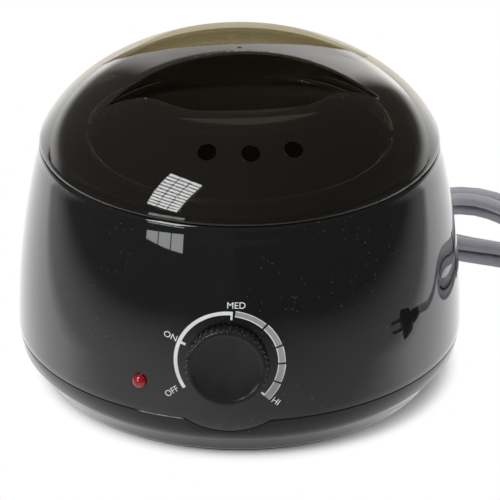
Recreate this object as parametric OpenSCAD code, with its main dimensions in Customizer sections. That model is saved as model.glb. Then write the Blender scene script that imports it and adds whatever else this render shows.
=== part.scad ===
// Wax warmer: a round housing with a heated pot, a removable wax can with a bail, and a smoked
// dome lid. Millimetres, +Z up. The origin is on the table under the middle of the base, and the
// heat dial faces -Y.

/* [Housing] */
// Widest diameter, at the seam above the lower casing
body_d = 185; // [182:1:196]
// Diameter at the top of the side wall, under the rounded rim
shoulder_d = 165.2; // [164:0.2:170]
// Height of the rim that carries the lid
rim_z = 101.5; // [99:0.5:108]
// Radius of the rounded rim
rim_round = 2.3; // [1.5:0.1:2.6]
// How far the side wall bulges past a straight cone
wall_bulge = 2.4; // [1:0.1:3]
// Thickness of the side wall
housing_wall = 2.5; // [2:0.1:3]
// Thickness of the deck round the pot
deck_t = 2.5; // [2:0.1:3.5]
// Depth of the deck below the rim
deck_drop = 4; // [3.5:0.1:5]
// Thickness of the rim wall that the lid sits on
rim_wall = 3.4; // [3:0.1:4]

/* [Lower casing] */
// Height of the seam between the housing and the lower casing
seam_z = 20; // [19:0.5:22]
// Width of the seam line
seam_gap = 0.4; // [0.3:0.1:0.8]
// Diameter of the underside
foot_d = 164; // [160:1:168]
// Height of the foot band
foot_h = 7.5; // [6:0.5:8]
// Diameter at the top of the foot band
foot_top_d = 171; // [169:1:173]
// Diameter of the edge that overhangs the foot band
skirt_d = 174.4; // [174:0.2:178]
// Thickness of the lower casing
casing_wall = 2.5; // [2:0.1:3]
// How far the rubber feet stand proud of the underside
foot_proud = 0.8; // [0.5:0.1:1.2]
// Distance of the feet from the middle
feet_r = 66; // [60:1:68]
// Diameter of a rubber foot
foot_pad_d = 14; // [10:1:16]
// Width of a cooling slot
slot_w = 3; // [2:0.5:4]
// Number of cooling slots
slot_n = 12; // [8:1:16]

/* [Lid] */
// Diameter of the lid at its edge
lid_d = 164.6; // [162:0.2:165]
// Height of the lid above the rim, to the top of the bridge
lid_rise = 40.8; // [38:0.2:50]
// How far the ellipse of the dome would run past the lid's edge
dome_run = 3.7; // [2:0.1:6]
// Thickness of the lid
lid_wall = 2.4; // [2:0.1:2.8]
// Half-width of the grip bridge at its middle
bridge_half = 3.7; // [3.2:0.1:6]
// Radius of the curved edges of the bridge, seen from above
bridge_edge_r = 98; // [90:1:120]
// Distance of the far lip of each finger recess from the middle
lip_r = 46; // [43:1:48]
// Distance of the recess tips from the middle, along the bridge
tip_x = 55.5; // [52:0.5:57]
// Where the lip leaves its arc and flares to the tip
flare_x = 34; // [30:1:37]
// Depth of the finger recesses below the bridge
recess_depth = 15; // [12:0.5:17]
// Diameter of a vent hole
vent_d = 7.5; // [5:0.5:9]
// Distance of the vent holes from the middle
vent_r = 63.2; // [62:0.2:66]
// Angle between the vent holes
vent_step = 15.8; // [13:0.2:18]
// Turn of the lid on the housing
lid_turn = 7; // [0:1:10]

/* [Can and bail] */
// Diameter of the can's rolled rim
can_d = 127; // [120:1:129]
// Height of the can
can_h = 70; // [64:1:73]
// Thickness of the can's sheet
can_wall = 1; // [0.8:0.1:1.4]
// Diameter of the rolled rim's bead
bead_d = 3; // [2.4:0.1:3.4]
// Height of the can's rim above the deck
can_stand = 5.8; // [5.5:0.1:7]
// Diameter of the bail wire
bail_wire_d = 3; // [2.4:0.1:3.4]
// Thickness of a bail ear
ear_t = 1.2; // [1:0.1:1.5]
// Width of a bail ear
ear_w = 11; // [9:0.5:13]

/* [Pot and heater] */
// Clearance between the can and the pot
pot_gap = 0.8; // [0.5:0.1:1.2]
// Thickness of the pot
pot_wall = 1.5; // [1.2:0.1:2]
// Width of the pot's flange
pot_flange = 10; // [8:0.5:11]
// Thickness of the band heater
band_t = 1.8; // [1.5:0.1:2.2]
// Height of the band heater
band_h = 34; // [24:1:38]
// Thickness of the insulation sleeve
sleeve_t = 3.4; // [2.5:0.1:3.8]
// Thickness of the steel bar under the pot
bar_t = 2; // [1.5:0.1:2.5]
// Width of the steel bar under the pot
bar_w = 14; // [12:1:18]

/* [Dial] */
// Height of the dial's middle
dial_z = 45.5; // [43:0.5:50]
// Upward tilt of the dial
dial_tilt = 6; // [5:0.5:8]
// Diameter of the knob at its face
knob_d = 32.8; // [31:0.2:37]
// Height of the knob
knob_h = 5.7; // [5:0.1:9]
// How much wider the knob is at its foot
knob_flare = 0.5; // [0.3:0.1:1.2]
// Number of flutes round the knob
flute_n = 42; // [24:2:44]
// Diameter of the thermostat's shaft
shaft_d = 6; // [5:0.5:6]
// Radius of the housing's tab under the dial
tab_r = 30.5; // [29:0.5:32]
// Height of the indicator lens
lamp_z = 33.4; // [31:0.2:36]
// Angle of the indicator lens from the dial
lamp_turn = 22.7; // [21:0.5:30]
// Diameter of the indicator lens
lamp_d = 5.8; // [5:0.1:7]

/* [Cord and plug] */
// Diameter of the mains cord
cord_d = 5.6; // [5:0.1:6]
// Height of the cord's outlet
outlet_z = 13.5; // [13.2:0.1:14.2]
// Length of the strain relief outside the casing
relief_len = 34; // [24:1:36]
// Diameter of the plug's pins
pin_d = 4; // [3.8:0.1:4.8]
// Distance between the plug's pins
pin_pitch = 18.6; // [17.5:0.1:19]
// Length of the plug's pins
pin_len = 19; // [17:1:21]
// Diameter of the small internal wires
wire_d = 2; // [1.6:0.1:2.2]

/* [Hidden] */
$fn = 72;

eps = 0.01;
fit = 0.06;         // running fit between a shaft and its bore, on the radius
seat = 0.3;         // gap between pieces that rest on each other but come apart
steps = 16;         // steps along a curved profile

// Housing and lower casing profiles
body_r = body_d / 2;
shoulder_r = shoulder_d / 2;
shoulder_z = rim_z - rim_round;
rim_top_r = shoulder_r - rim_round;
rim_in_r = shoulder_r - rim_wall;
deck_z = rim_z - deck_drop;
foot_r = foot_d / 2;
foot_top_r = foot_top_d / 2;
skirt_r = skirt_d / 2;
skirt_z = foot_proud + foot_h;
knee_r = body_r - 1.5;
knee_z = skirt_z + 4.7;
floor_z = foot_proud + casing_wall;

function wall_t(z) = (z - seam_z) / (shoulder_z - seam_z);
function wall_r(z) = let (t = wall_t(z))
  body_r + (shoulder_r - body_r) * t + 4 * wall_bulge * t * (1 - t);
function wall_line(z0, z1, inset) =
  [for (i = [0:steps]) let (z = z0 + (z1 - z0) * i / steps) [wall_r(z) - inset, z]];

// Lid
lid_r = lid_d / 2;
lid_z = rim_z + seat;
lid_top_z = rim_z + lid_rise;
lid_band = 1.2;     // straight edge of the lid below the dome
lid_rib_t = 2;      // thickness of the locating rib
lid_rib_gap = 0.6;  // between the rib and the rim wall
lid_rib_drop = 3.3; // how far the rib reaches below the rim
dome_a = lid_r + dome_run;
dome_base = lid_z + lid_band;
dome_k = sqrt(1 - pow(lid_r / dome_a, 2));
dome_b = (lid_top_z - dome_base) / (1 - dome_k);
dome_z = lid_top_z - dome_b;
recess_z = lid_top_z - recess_depth;
tip_slope = 0.15;   // slope of the lip where it meets the tip

// Can, pot and what hangs under the pot
bead_r = bead_d / 2;
can_top_z = deck_z + can_stand;
can_r = can_d / 2 - bead_r / 2 - 1.25;
can_in_r = can_r - can_wall;
can_z = can_top_z - can_h;
pot_r = can_r + pot_gap;
pot_out_r = pot_r + pot_wall;
pot_floor_z = can_z - seat;
pot_z = pot_floor_z - pot_wall;
band_r = pot_out_r + seat;
band_z = pot_z + 8;
sleeve_r = band_r + band_t + seat;
sleeve_h = band_h + 12;
bar_z = pot_z - bar_t;
stud_d = 5;
washer_t = 1;
nut_t = 4;
bolt_clear = 0.2;   // clearance of a screw or stud in a plain hole, on the radius
bail_r = can_d / 2 - bead_r;
bail_z = can_top_z + bail_wire_d / 2 + 0.5;
knuckle = 0.2;      // how far the bail's bent corners stand out of the wire
ear_x = sqrt(pow(can_in_r, 2) - pow(ear_w / 2, 2)) - seat - ear_t;
rivet_d = 3;

// Screws and their bosses
boss_r = 4.5;
boss_ring = sleeve_r + sleeve_t + boss_r + 0.9;
lug_ring = (sleeve_r + sleeve_t + wall_r(bar_z) - housing_wall) / 2 + 0.6;
boss_top = 60;
screw_d = 3;
screw_head_d = 5.6;
post_z = floor_z + 2;
screw_angles = [45, 135, 225, 315];
foot_angles = [30, 150, 210, 330];

// Dial
dial_r = wall_r(dial_z);
land_r = 14.5;
land_drop = 1.3;
land_t = 3.7;
bush_r = 4.5;
bush_top = 1.2;
knob_r = knob_d / 2;
knob_foot = knob_r + knob_flare;
// How far the wall stands out of the dial's plane, at a height above the dial's middle
function wall_proud(y) = (wall_r(dial_z + y * cos(dial_tilt)) - dial_r + y * sin(dial_tilt))
  * cos(dial_tilt);
knob_lift = 0.6 + max(0, wall_proud(knob_foot), wall_proud(-knob_foot));
knob_wall = 1.4;
knob_side = 1.9;
hub_low = bush_top - knob_lift + 0.7;
shaft_r = shaft_d / 2;
hub_r = shaft_r + 2.4;
lamp_r = lamp_d / 2;

// Cord and plug
cord_r = cord_d / 2;
casing_line_t = (outlet_z - knee_z) / (seam_z - knee_z);
outlet_r = outlet_z > knee_z
  ? knee_r + (body_r - knee_r) * casing_line_t
  : skirt_r + (knee_r - skirt_r) * (outlet_z - skirt_z) / (knee_z - skirt_z);
relief_y = outlet_r + relief_len;
relief_tip_z = outlet_z - 4;
table_z = cord_r + 0.05;

// The cord's free route, from the strain relief round to the hank
cord_route = [for (p = [
  [0, -0.94, relief_tip_z], [0.3, 5.9, 8.5], [2, 12.9, 7.2], [7, 20.9, 5.4],
  [16, 27.2, 4], [28, 31, 3.1], [42, 33.3, 2.9], [56, 34, 2.9], [70, 32.9, 2.9],
  [83, 29.7, 2.9], [96, 24.6, 2.88]
]) p + [0, relief_y, 0]];
hank_at = [132, relief_y - 34.1];
// The cord's end, from the hank to the plug
tail_route = [for (p = [
  [63.8, -43.7, 8.1], [61.7, -52.6, 6], [59.4, -62.4, 3.8], [57.5, -71.3, 2.9], [55.8, -80.2, 2.9],
  [54.2, -89.1, 3.7], [53, -97, 5.4], [51.9, -103.9, 6.8], [51.2, -109.9, 7]
]) p + [hank_at[0], hank_at[1], 0]];
hank_turn = -36;
hank_run = 96;
hank_in_r = 17;
hank_step = 6.5;
hank_climb = 6.1;
hank_draw = 10.5;
hank_loops = 3.375;
tie_t = 0.6;
plug_at = [hank_at[0] + 51.2, hank_at[1] - 110, 7];
plug_turn = -9;

// Turned solid from a list of [radius, height] points
module turned(points, angle = 360) rotate_extrude(angle = angle, $fn = 96) polygon(points);

// Ring between two radii and two heights
module ring(r0, r1, z0, z1) turned([[r0, z0], [r1, z0], [r1, z1], [r0, z1]]);

// Copies at a distance from the middle, one at each angle
module around(angles, r) for (a = angles) rotate([0, 0, a]) translate([r, 0, 0]) children();

// Frame on the outside of the wall, local +Z pointing out of it
module on_wall(turn, z, tilt) rotate([0, 0, turn]) translate([0, -wall_r(z), z])
  rotate([90 - tilt, 0, 0]) children();
module on_dial() on_wall(0, dial_z, dial_tilt) children();
module on_lamp() on_wall(-lamp_turn, lamp_z, dial_tilt) children();

// Place of a point of such a frame
function wall_point(turn, z, p) = let (
    x = p[0], y = p[1] * sin(dial_tilt) - p[2] * cos(dial_tilt) - wall_r(z))
  [x * cos(turn) - y * sin(turn), x * sin(turn) + y * cos(turn),
   z + p[1] * cos(dial_tilt) + p[2] * sin(dial_tilt)];
function dial_point(p) = wall_point(0, dial_z, p);
function lamp_point(p) = wall_point(-lamp_turn, lamp_z, p);

// Pan-head screw with its shank pointing down from the origin
module screw(shank, d = screw_d, head = screw_head_d) {
  head_h = head * 0.36;
  difference() {
    turned([[0, -shank], [d / 2, -shank], [d / 2, 0], [head / 2, 0], [head / 2, head_h * 0.55],
            [head * 0.34, head_h], [0, head_h]]);
    for (a = [0, 90]) rotate([0, 0, a])
      translate([-head * 0.28, -head * 0.06, head_h * 0.45]) cube([head * 0.56, head * 0.12, head_h]);
  }
}

// Space inside the side wall, used to trim what is fixed to it
module wall_inside(inset) turned(concat([[0, seam_z - 16]], [[body_r - inset - 2, seam_z - 16]],
  wall_line(seam_z, deck_z, inset), [[0, deck_z]]));

// Boss for a screw from below, webbed to the side wall
module boss(r, z) {
  translate([r, 0, z]) cylinder(h = boss_top - z, r = boss_r);
  translate([r, -1.25, max(z, seam_z + 5)]) cube([30, 2.5, boss_top - max(z, seam_z + 5)]);
}

module housing() color([0.05, 0.05, 0.055]) {
  rim_points = [for (a = [0:18:90]) [rim_top_r + rim_round * cos(a), shoulder_z + rim_round * sin(a)]];
  difference() {
    union() {
      turned(concat(
        wall_line(seam_z + seam_gap / 2, shoulder_z, 0), rim_points,
        [[rim_in_r, rim_z], [rim_in_r, deck_z], [pot_out_r + 0.8, deck_z],
         [pot_out_r + 0.8, deck_z - deck_t], [wall_r(deck_z - deck_t) - housing_wall, deck_z - deck_t]],
        [for (i = [steps:-1:0])
          let (z = seam_z + seam_gap / 2 + (deck_z - deck_t - seam_z - seam_gap / 2) * i / steps)
          [wall_r(z) - housing_wall, z]]));
      intersection() {
        union() {
          around(screw_angles, boss_ring) translate([-boss_ring, 0, 0]) boss(boss_ring, post_z + seat);
          around([0, 180], lug_ring) translate([-lug_ring, 0, 0]) boss(lug_ring, pot_z);
          on_dial() translate([0, 0, -land_drop - land_t]) cylinder(h = land_t + 1, r = land_r + 1.5);
          on_lamp() for (x = [-5.5, 5.5]) translate([x, 0, -7]) cylinder(h = 6, r = 1.4);
        }
        wall_inside(housing_wall - 1);
      }
      tab();
    }
    around(screw_angles, boss_ring) translate([0, 0, post_z]) cylinder(h = 14, r = screw_d / 2 + fit);
    around([0, 180], lug_ring) translate([0, 0, pot_z - 1]) cylinder(h = 13, r = screw_d / 2 + fit);
    on_dial() {
      translate([0, 0, -land_drop]) cylinder(h = 6, r = land_r);
      translate([0, 0, -20]) cylinder(h = 30, r = bush_r + bolt_clear);
    }
    on_lamp() translate([0, 0, -20]) cylinder(h = 30, r = lamp_r + fit);
  }
}

// Round tab of the housing that dips into the lower casing under the dial
module tab() intersection() {
  turned([[body_r - housing_wall + 0.2, knee_z - 1], [knee_r - 0.3, knee_z - 1], [knee_r, knee_z],
          [body_r, seam_z], [body_r - 0.3, seam_z + 1], [body_r - housing_wall + 0.2, seam_z + 1]]);
  translate([0, 0, dial_z]) rotate([90, 0, 0]) cylinder(h = body_r + 5, r = tab_r);
}

module lower_casing() color([0.055, 0.055, 0.06]) {
  w = casing_wall;
  spigot_r = body_r - housing_wall - 0.7;
  difference() {
    union() {
      difference() {
        turned([[0, foot_proud], [foot_r, foot_proud], [foot_top_r, skirt_z], [skirt_r, skirt_z],
                [knee_r, knee_z], [body_r, seam_z - seam_gap / 2], [spigot_r, seam_z - seam_gap / 2],
                [spigot_r, seam_z + 4], [spigot_r - 2, seam_z + 4], [spigot_r - 2, knee_z + 1],
                [skirt_r - w, skirt_z + w], [foot_top_r - w, skirt_z + w], [foot_r - w, floor_z],
                [0, floor_z]]);
        intersection() {
          translate([0, 0, dial_z]) rotate([90, 0, 0])
            cylinder(h = body_r + 5, r = tab_r + seam_gap);
          ring(body_r - housing_wall - 0.1, body_r + 2, 0, seam_z + 1);
        }
      }
      around(screw_angles, boss_ring) translate([0, 0, floor_z - 1])
        cylinder(h = post_z - floor_z + 1, r = boss_r);
      for (x = [-clamp_x, clamp_x]) translate([x, clamp_y, floor_z - 1])
        cylinder(h = outlet_z + 1 - floor_z, r = 3.6);
      translate([-5, clamp_y - 4, floor_z - 1]) cube([10, 8, outlet_z - cord_r - floor_z + 1 - 0.05]);
      intersection() {
        translate([0, relief_seat_y, outlet_z]) rotate([-90, 0, 0])
          cylinder(h = 9, r = relief_hole_r + 2.2);
        turned([[0, foot_proud + 1], [foot_r - 1, foot_proud + 1], [foot_top_r - 1, skirt_z + 0.5],
                [skirt_r - 1, skirt_z + 0.5], [knee_r - 1, knee_z], [knee_r - 1, seam_z - 0.5],
                [0, seam_z - 0.5]]);
      }
    }
    around(screw_angles, boss_ring) {
      translate([0, 0, foot_proud - 1]) cylinder(h = 2.6 + 1, r = screw_head_d / 2 + 0.5);
      cylinder(h = 20, r = screw_d / 2 + bolt_clear);
    }
    around(foot_angles, feet_r) {
      translate([0, 0, foot_proud - 1]) cylinder(h = 1 + 0.8, r = foot_pad_d / 2 + 0.15);
      cylinder(h = 10, r = 1.9 + fit);
    }
    around([for (i = [0:slot_n - 1]) 15 + i * 360 / slot_n], 22)
      translate([0, -slot_w / 2, 0]) cube([16, slot_w, 10]);
    for (x = [-clamp_x, clamp_x]) translate([x, clamp_y, floor_z + 1])
      cylinder(h = 20, r = screw_d / 2 + fit);
    translate([0, relief_seat_y - 4, outlet_z]) rotate([-90, 0, 0]) cylinder(h = 30, r = relief_hole_r);
  }
}
clamp_x = 9.5;
clamp_y = outlet_r - 23.1;
lead_y = clamp_y - 11;
relief_hole_r = cord_r + 1.6;
relief_seat_y = outlet_r - 9.7;

// Countersunk rubber feet, each with a stem through the underside
module rubber_feet() color([0.12, 0.12, 0.12]) around(foot_angles, feet_r) turned([
  [0, 0], [foot_pad_d / 2 - 0.4, 0], [foot_pad_d / 2, 0.4], [foot_pad_d / 2, foot_proud + 0.75],
  [1.9, foot_proud + 0.75], [1.9, floor_z + 0.3], [2.6, floor_z + 0.4], [1.4, floor_z + 2.2],
  [0, floor_z + 2.2]]);

module casing_screws() color([0.6, 0.6, 0.62]) around(screw_angles, boss_ring)
  translate([0, 0, foot_proud + 2.55]) mirror([0, 0, 1]) screw(13);

// Half of an ellipse through the dome, from the edge to the top
function dome_line(inset) = let (start = asin((dome_base - dome_z) / (dome_b - inset)), n = 24)
  [for (i = [0:n]) let (a = start + (90 - start) * i / n)
    [(dome_a - inset) * cos(a), dome_z + (dome_b - inset) * sin(a)]];

// Outline of a finger recess, grown outwards by g
function recess_outline(g) = let (
    r = lip_r + g, x1 = flare_x, x2 = tip_x + 1.4 * g, n = 10,
    y1 = -sqrt(r * r - x1 * x1),
    edge_y = -(bridge_half + bridge_edge_r), edge_r = bridge_edge_r + g,
    y2 = edge_y + sqrt(edge_r * edge_r - x2 * x2),
    s = -x1 / y1,
    mid_x = (y2 - tip_slope * x2 - y1 + s * x1) / (s - tip_slope),
    mid_y = y1 + s * (mid_x - x1),
    lip = [for (i = [0:n]) let (a = -90 + asin(x1 / r) * i / n) r * [cos(a), sin(a)]],
    flare = [for (i = [1:n - 2]) let (t = i / (n - 2))
      pow(1 - t, 2) * [x1, y1] + 2 * t * (1 - t) * [mid_x, mid_y] + t * t * [x2, y2]],
    edge = [for (i = [1:2 * n - 1]) let (x = x2 * (1 - i / n))
      [x, edge_y + sqrt(edge_r * edge_r - x * x)]],
    right = concat(lip, flare))
  concat(right, edge, [for (i = [len(right) - 1:-1:1]) [-right[i][0], right[i][1]]]);

module recess(g, z) for (a = [0, 180]) rotate([0, 0, a]) translate([0, 0, z])
  linear_extrude(lid_top_z - z + 5) polygon(recess_outline(g));

module lid() color([0.16, 0.15, 0.12, 0.75]) rotate([0, 0, lid_turn]) {
  outer = dome_line(0);
  inner = dome_line(lid_wall);
  rib_r = rim_in_r - lid_rib_gap;
  vent_tilt = atan(pow(dome_b / dome_a, 2) * vent_r
    / (dome_b * sqrt(1 - pow(vent_r / dome_a, 2))));
  vent_z = dome_z + dome_b * sqrt(1 - pow(vent_r / dome_a, 2));
  difference() {
    union() {
      difference() {
        turned(concat([[rib_r - 1, lid_z], [lid_r - 0.5, lid_z], [lid_r, lid_z + 0.5]], outer,
          [for (i = [len(inner) - 1:-1:0]) inner[i]]));
        recess(0, recess_z);
      }
      intersection() {
        turned(concat([[0, dome_base]], outer));
        difference() {
          recess(lid_wall, recess_z - lid_wall);
          recess(0, recess_z);
        }
      }
      ring(rib_r - lid_rib_t, rib_r, rim_z - lid_rib_drop, lid_z + 2.5);
    }
    for (a = [-1:1]) rotate([0, 0, a * vent_step]) translate([0, -vent_r, vent_z])
      rotate([vent_tilt, 0, 0]) translate([0, 0, -10]) cylinder(h = 20, r = vent_d / 2);
  }
}

module wax_can() color([0.78, 0.78, 0.78]) {
  c = 4;
  outer_c = [for (a = [-90:15:0]) [can_r - c + c * cos(a), can_z + c + c * sin(a)]];
  inner_c = [for (a = [0:-15:-90])
    [can_r - c + (c - can_wall) * cos(a), can_z + c + (c - can_wall) * sin(a)]];
  bead_x = can_in_r + bead_r;
  difference() {
    union() {
      turned(concat([[0, can_z]], outer_c, [[can_r, can_top_z - bead_r], [can_in_r, can_top_z - bead_r]],
        inner_c, [[0, can_z + can_wall]]));
      rotate_extrude($fn = 96) translate([bead_x, can_top_z - bead_r]) circle(r = bead_r, $fn = 24);
    }
    rivet_places() cylinder(h = 30, r = rivet_d / 2 + fit, center = true);
  }
}

// Rivet axes along X, two for each ear
module rivet_places() for (side = [0, 180], y = [-3, 3]) rotate([0, 0, side])
  translate([can_r, y, can_top_z - 8]) rotate([0, 90, 0]) children();

module can_ears() color([0.72, 0.72, 0.73]) for (side = [0, 180]) rotate([0, 0, side]) difference() {
  translate([ear_x, 0, 0]) {
    translate([0, 0, bail_z]) rotate([0, 90, 0]) cylinder(h = ear_t, r = ear_w / 2);
    translate([0, -ear_w / 2, can_top_z - 12]) cube([ear_t, ear_w, bail_z - can_top_z + 12]);
  }
  translate([0, 0, bail_z]) rotate([0, 90, 0]) cylinder(h = 90, r = bail_wire_d / 2 + fit);
  rivet_places() cylinder(h = 30, r = rivet_d / 2 + fit, center = true);
}

module ear_rivets() color([0.7, 0.7, 0.7]) rivet_places() {
  far = can_r - ear_x;
  translate([0, 0, -far]) cylinder(h = far - 0.15, r = rivet_d / 2);
  translate([0, 0, -far - 1]) cylinder(h = 1, r = rivet_d * 0.85);
}

// Half ring of wire that lies on the can's rim, its ends turned in through the ears
module bail_handle() color([0.66, 0.67, 0.68]) translate([0, 0, bail_z]) {
  rotate_extrude(angle = 180, $fn = 96) translate([bail_r, 0]) circle(r = bail_wire_d / 2, $fn = 24);
  for (side = [0, 180]) rotate([0, 0, side]) {
    translate([bail_r, 0, 0]) sphere(r = bail_wire_d / 2 + knuckle, $fn = 48);
    translate([ear_x - 2, 0, 0]) rotate([0, 90, 0])
      cylinder(h = bail_r - ear_x + 2 - knuckle, r = bail_wire_d / 2);
  }
}

module heating_pot() color([0.7, 0.71, 0.72]) {
  c = 5;
  outer_c = [for (a = [-90:15:0])
    [pot_out_r - c - 1 + (c + 1) * cos(a), pot_z + c + 1 + (c + 1) * sin(a)]];
  inner_c = [for (a = [0:-15:-90]) [pot_r - c + c * cos(a), pot_floor_z + c + c * sin(a)]];
  turned(concat([[0, pot_z]], outer_c,
    [[pot_out_r, deck_z + 0.1], [pot_r + pot_flange, deck_z + 0.1],
     [pot_r + pot_flange, deck_z + 0.1 + pot_wall], [pot_r + 0.6, deck_z + 0.1 + pot_wall],
     [pot_r, deck_z + pot_wall - 0.5]],
    inner_c, [[0, pot_floor_z]]));
  translate([0, 0, bar_z - washer_t - nut_t - 2])
    cylinder(h = bar_t + washer_t + nut_t + 2 + eps, r = stud_d / 2);
}

band_cut = 5;       // half of the gap between the band's ends
band_ear = 7;       // how far the band's clamping ears stand out
module heater_band() color([0.62, 0.6, 0.55]) difference() {
  union() {
    ring(band_r, band_r + band_t, band_z, band_z + band_h);
    for (s = [-1, 1]) translate([s * band_cut - 0.75, band_r, band_z + band_h / 2 - 6])
      cube([1.5, band_t + band_ear, 12]);
  }
  translate([-band_cut + 0.75, band_r - 5, band_z - 1]) cube([2 * band_cut - 1.5, 25, band_h + 2]);
  translate([0, band_r + band_t + band_ear - 3, band_z + band_h / 2]) rotate([0, 90, 0])
    cylinder(h = 40, r = screw_d / 2 + bolt_clear, center = true);
}

module band_screw() color([0.6, 0.6, 0.62])
  translate([band_cut + 0.75, band_r + band_t + band_ear - 3, band_z + band_h / 2])
    rotate([0, 90, 0]) {
      screw(2 * band_cut + 5, head = 5);
      translate([0, 0, -2 * band_cut - 1.5 - 2.5]) difference() {
        cylinder(h = 2.5, r = 2.9, $fn = 6);
        translate([0, 0, -1]) cylinder(h = 5, r = screw_d / 2 - eps);
      }
    }

module insulation_sleeve() color([0.88, 0.86, 0.78]) difference() {
  ring(sleeve_r, sleeve_r + sleeve_t, band_z - 4, band_z - 4 + sleeve_h);
  translate([-band_cut - 5, sleeve_r - 5, band_z - 10]) cube([2 * band_cut + 10, 20, sleeve_h + 20]);
}

module pot_bracket() color([0.62, 0.63, 0.65]) difference() {
  half = lug_ring + 0.48 * (lug_ring - sleeve_r - sleeve_t);
  translate([-half, -bar_w / 2, bar_z]) cube([2 * half, bar_w, bar_t]);
  translate([0, 0, bar_z - 1]) cylinder(h = 10, r = stud_d / 2 + bolt_clear);
  for (x = [-lug_ring, lug_ring]) translate([x, 0, bar_z - 1])
    cylinder(h = 10, r = screw_d / 2 + bolt_clear);
}

module bracket_screws() color([0.6, 0.6, 0.62]) for (x = [-lug_ring, lug_ring])
  translate([x, 0, bar_z]) mirror([0, 0, 1]) screw(10);

module pot_washer() color([0.7, 0.7, 0.7])
  ring(stud_d / 2 + bolt_clear, 5.5, bar_z - washer_t, bar_z);

module pot_nut() color([0.6, 0.6, 0.62]) difference() {
  translate([0, 0, bar_z - washer_t - nut_t]) cylinder(h = nut_t, r = 4.6, $fn = 6);
  translate([0, 0, bar_z - washer_t - nut_t - 1]) cylinder(h = nut_t + 2, r = stud_d / 2 + fit);
}

fuse_r = 2;
fuse_x = 24;
fuse_y = 22;
module thermal_fuse() color([0.75, 0.75, 0.75]) translate([fuse_x, fuse_y, pot_z - fuse_r - 0.1])
  rotate([0, 90, 0]) {
    cylinder(h = 11, r = fuse_r, center = true);
    translate([0, 0, 5.5]) cylinder(h = 6, r = 0.5, $fn = 24);
    translate([0, 0, -11.5]) cylinder(h = 6, r = 0.5, $fn = 24);
  }

module fuse_clip() color([0.66, 0.67, 0.68]) translate([fuse_x, fuse_y, pot_z]) difference() {
  union() {
    translate([-3.5, -9, -0.8]) cube([7, 18, 0.8]);
    translate([-3.5, 0, -fuse_r - 0.1]) rotate([0, 90, 0]) cylinder(h = 7, r = fuse_r + 0.9);
  }
  translate([-5, 0, -fuse_r - 0.1]) rotate([0, 90, 0]) cylinder(h = 10, r = fuse_r + fit);
  translate([-5, -fuse_r - fit, -fuse_r]) cube([10, 2 * (fuse_r + fit), fuse_r + 2]);
  translate([-5, -10, 0]) cube([10, 20, 10]);
}

// Depth of the thermostat block, from the room between the dial's land and the sleeve
thermo_t = 0.64 * (dial_r - land_drop - land_t - sleeve_r - sleeve_t);
thermo_pin_z = 2.4 - land_drop - land_t - thermo_t;
thermo_w = 22;
thermo_h = 18;
module thermostat_body() color([0.86, 0.84, 0.78]) on_dial() difference() {
  back = -land_drop - land_t;
  union() {
    translate([-thermo_w / 2, -thermo_h / 2, back - thermo_t]) cube([thermo_w, thermo_h, thermo_t]);
    translate([0, 0, back - 1]) cylinder(h = bush_top - back + 1, r = bush_r);
    for (x = [-6, 6]) translate([x - 2.4, -thermo_h / 2 - 6, back - thermo_t + 2]) cube([4.8, 7, 0.8]);
  }
  translate([0, 0, back - 4]) cylinder(h = 20, r = shaft_r + fit);
}

module thermostat_nut() color([0.72, 0.6, 0.35]) on_dial() difference() {
  translate([0, 0, -land_drop]) cylinder(h = 2, r = 7.4, $fn = 6);
  translate([0, 0, -land_drop - 1]) cylinder(h = 5, r = bush_r + fit);
}

module thermostat_shaft() color([0.72, 0.72, 0.73]) on_dial() difference() {
  top = knob_lift + knob_h - knob_wall - 0.2;
  back = -land_drop - land_t - 3.8;
  translate([0, 0, back]) cylinder(h = top - back, r = shaft_r);
  translate([-5, shaft_r * 0.55, bush_top + 0.2]) cube([10, 5, 20]);
}

module control_knob() color([0.05, 0.05, 0.05]) on_dial() translate([0, 0, knob_lift]) difference() {
  bore_top = knob_h - knob_wall;
  union() {
    difference() {
      turned([[0, 0], [knob_foot, 0], [knob_r, knob_h - 0.8], [knob_r - 0.8, knob_h],
              [knob_r - 2.2, knob_h], [knob_r - 2.8, knob_h - 0.5], [0, knob_h - 0.5]]);
      translate([0, 0, -1]) cylinder(h = bore_top + 1, r = knob_r - knob_side);
    }
    translate([0, 0, hub_low]) cylinder(h = bore_top - hub_low + eps, r = hub_r);
  }
  difference() {
    translate([0, 0, -1]) cylinder(h = bore_top + 1, r = shaft_r + fit);
    translate([-5, shaft_r * 0.55 + fit, -2]) cube([10, 5, 20]);
  }
  for (i = [0:flute_n - 1]) rotate([0, 0, (i + 0.5) * 360 / flute_n]) translate([knob_foot + 0.4, 0, 0])
    rotate([0, -atan(knob_flare / knob_h), 0]) translate([0, 0, -2]) cylinder(h = knob_h + 4, r = 1);
}

// Split ring that grips the knob's hub on the shaft
module knob_spring() color([0.7, 0.71, 0.73]) on_dial() difference() {
  ring(hub_r + fit, hub_r + 0.7, knob_lift + hub_low + 0.3, knob_lift + knob_h - knob_wall - 0.4);
  translate([-1.5, 0, 0]) cube([3, 20, 30]);
}

module indicator_lens() color([0.75, 0.02, 0.03]) on_lamp() {
  turned(concat([[0, -housing_wall - 1.6], [lamp_r + 0.9, -housing_wall - 1.6],
    [lamp_r + 0.9, -housing_wall - 0.6], [lamp_r, -housing_wall - 0.6], [lamp_r, 0.5]],
    [for (a = [15:15:90]) [lamp_r * cos(a), 0.5 + 2.1 * sin(a)]]));
}

module indicator_board() color([0.16, 0.42, 0.2]) on_lamp() {
  translate([-8, -5, -8.4]) cube([16, 10, 1.4]);
  translate([0, 0, -7.1]) cylinder(h = 2.6, r = 1.5);
  translate([-7, -3.4, -9.8]) cube([5, 2.4, 1.5]);
}

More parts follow.
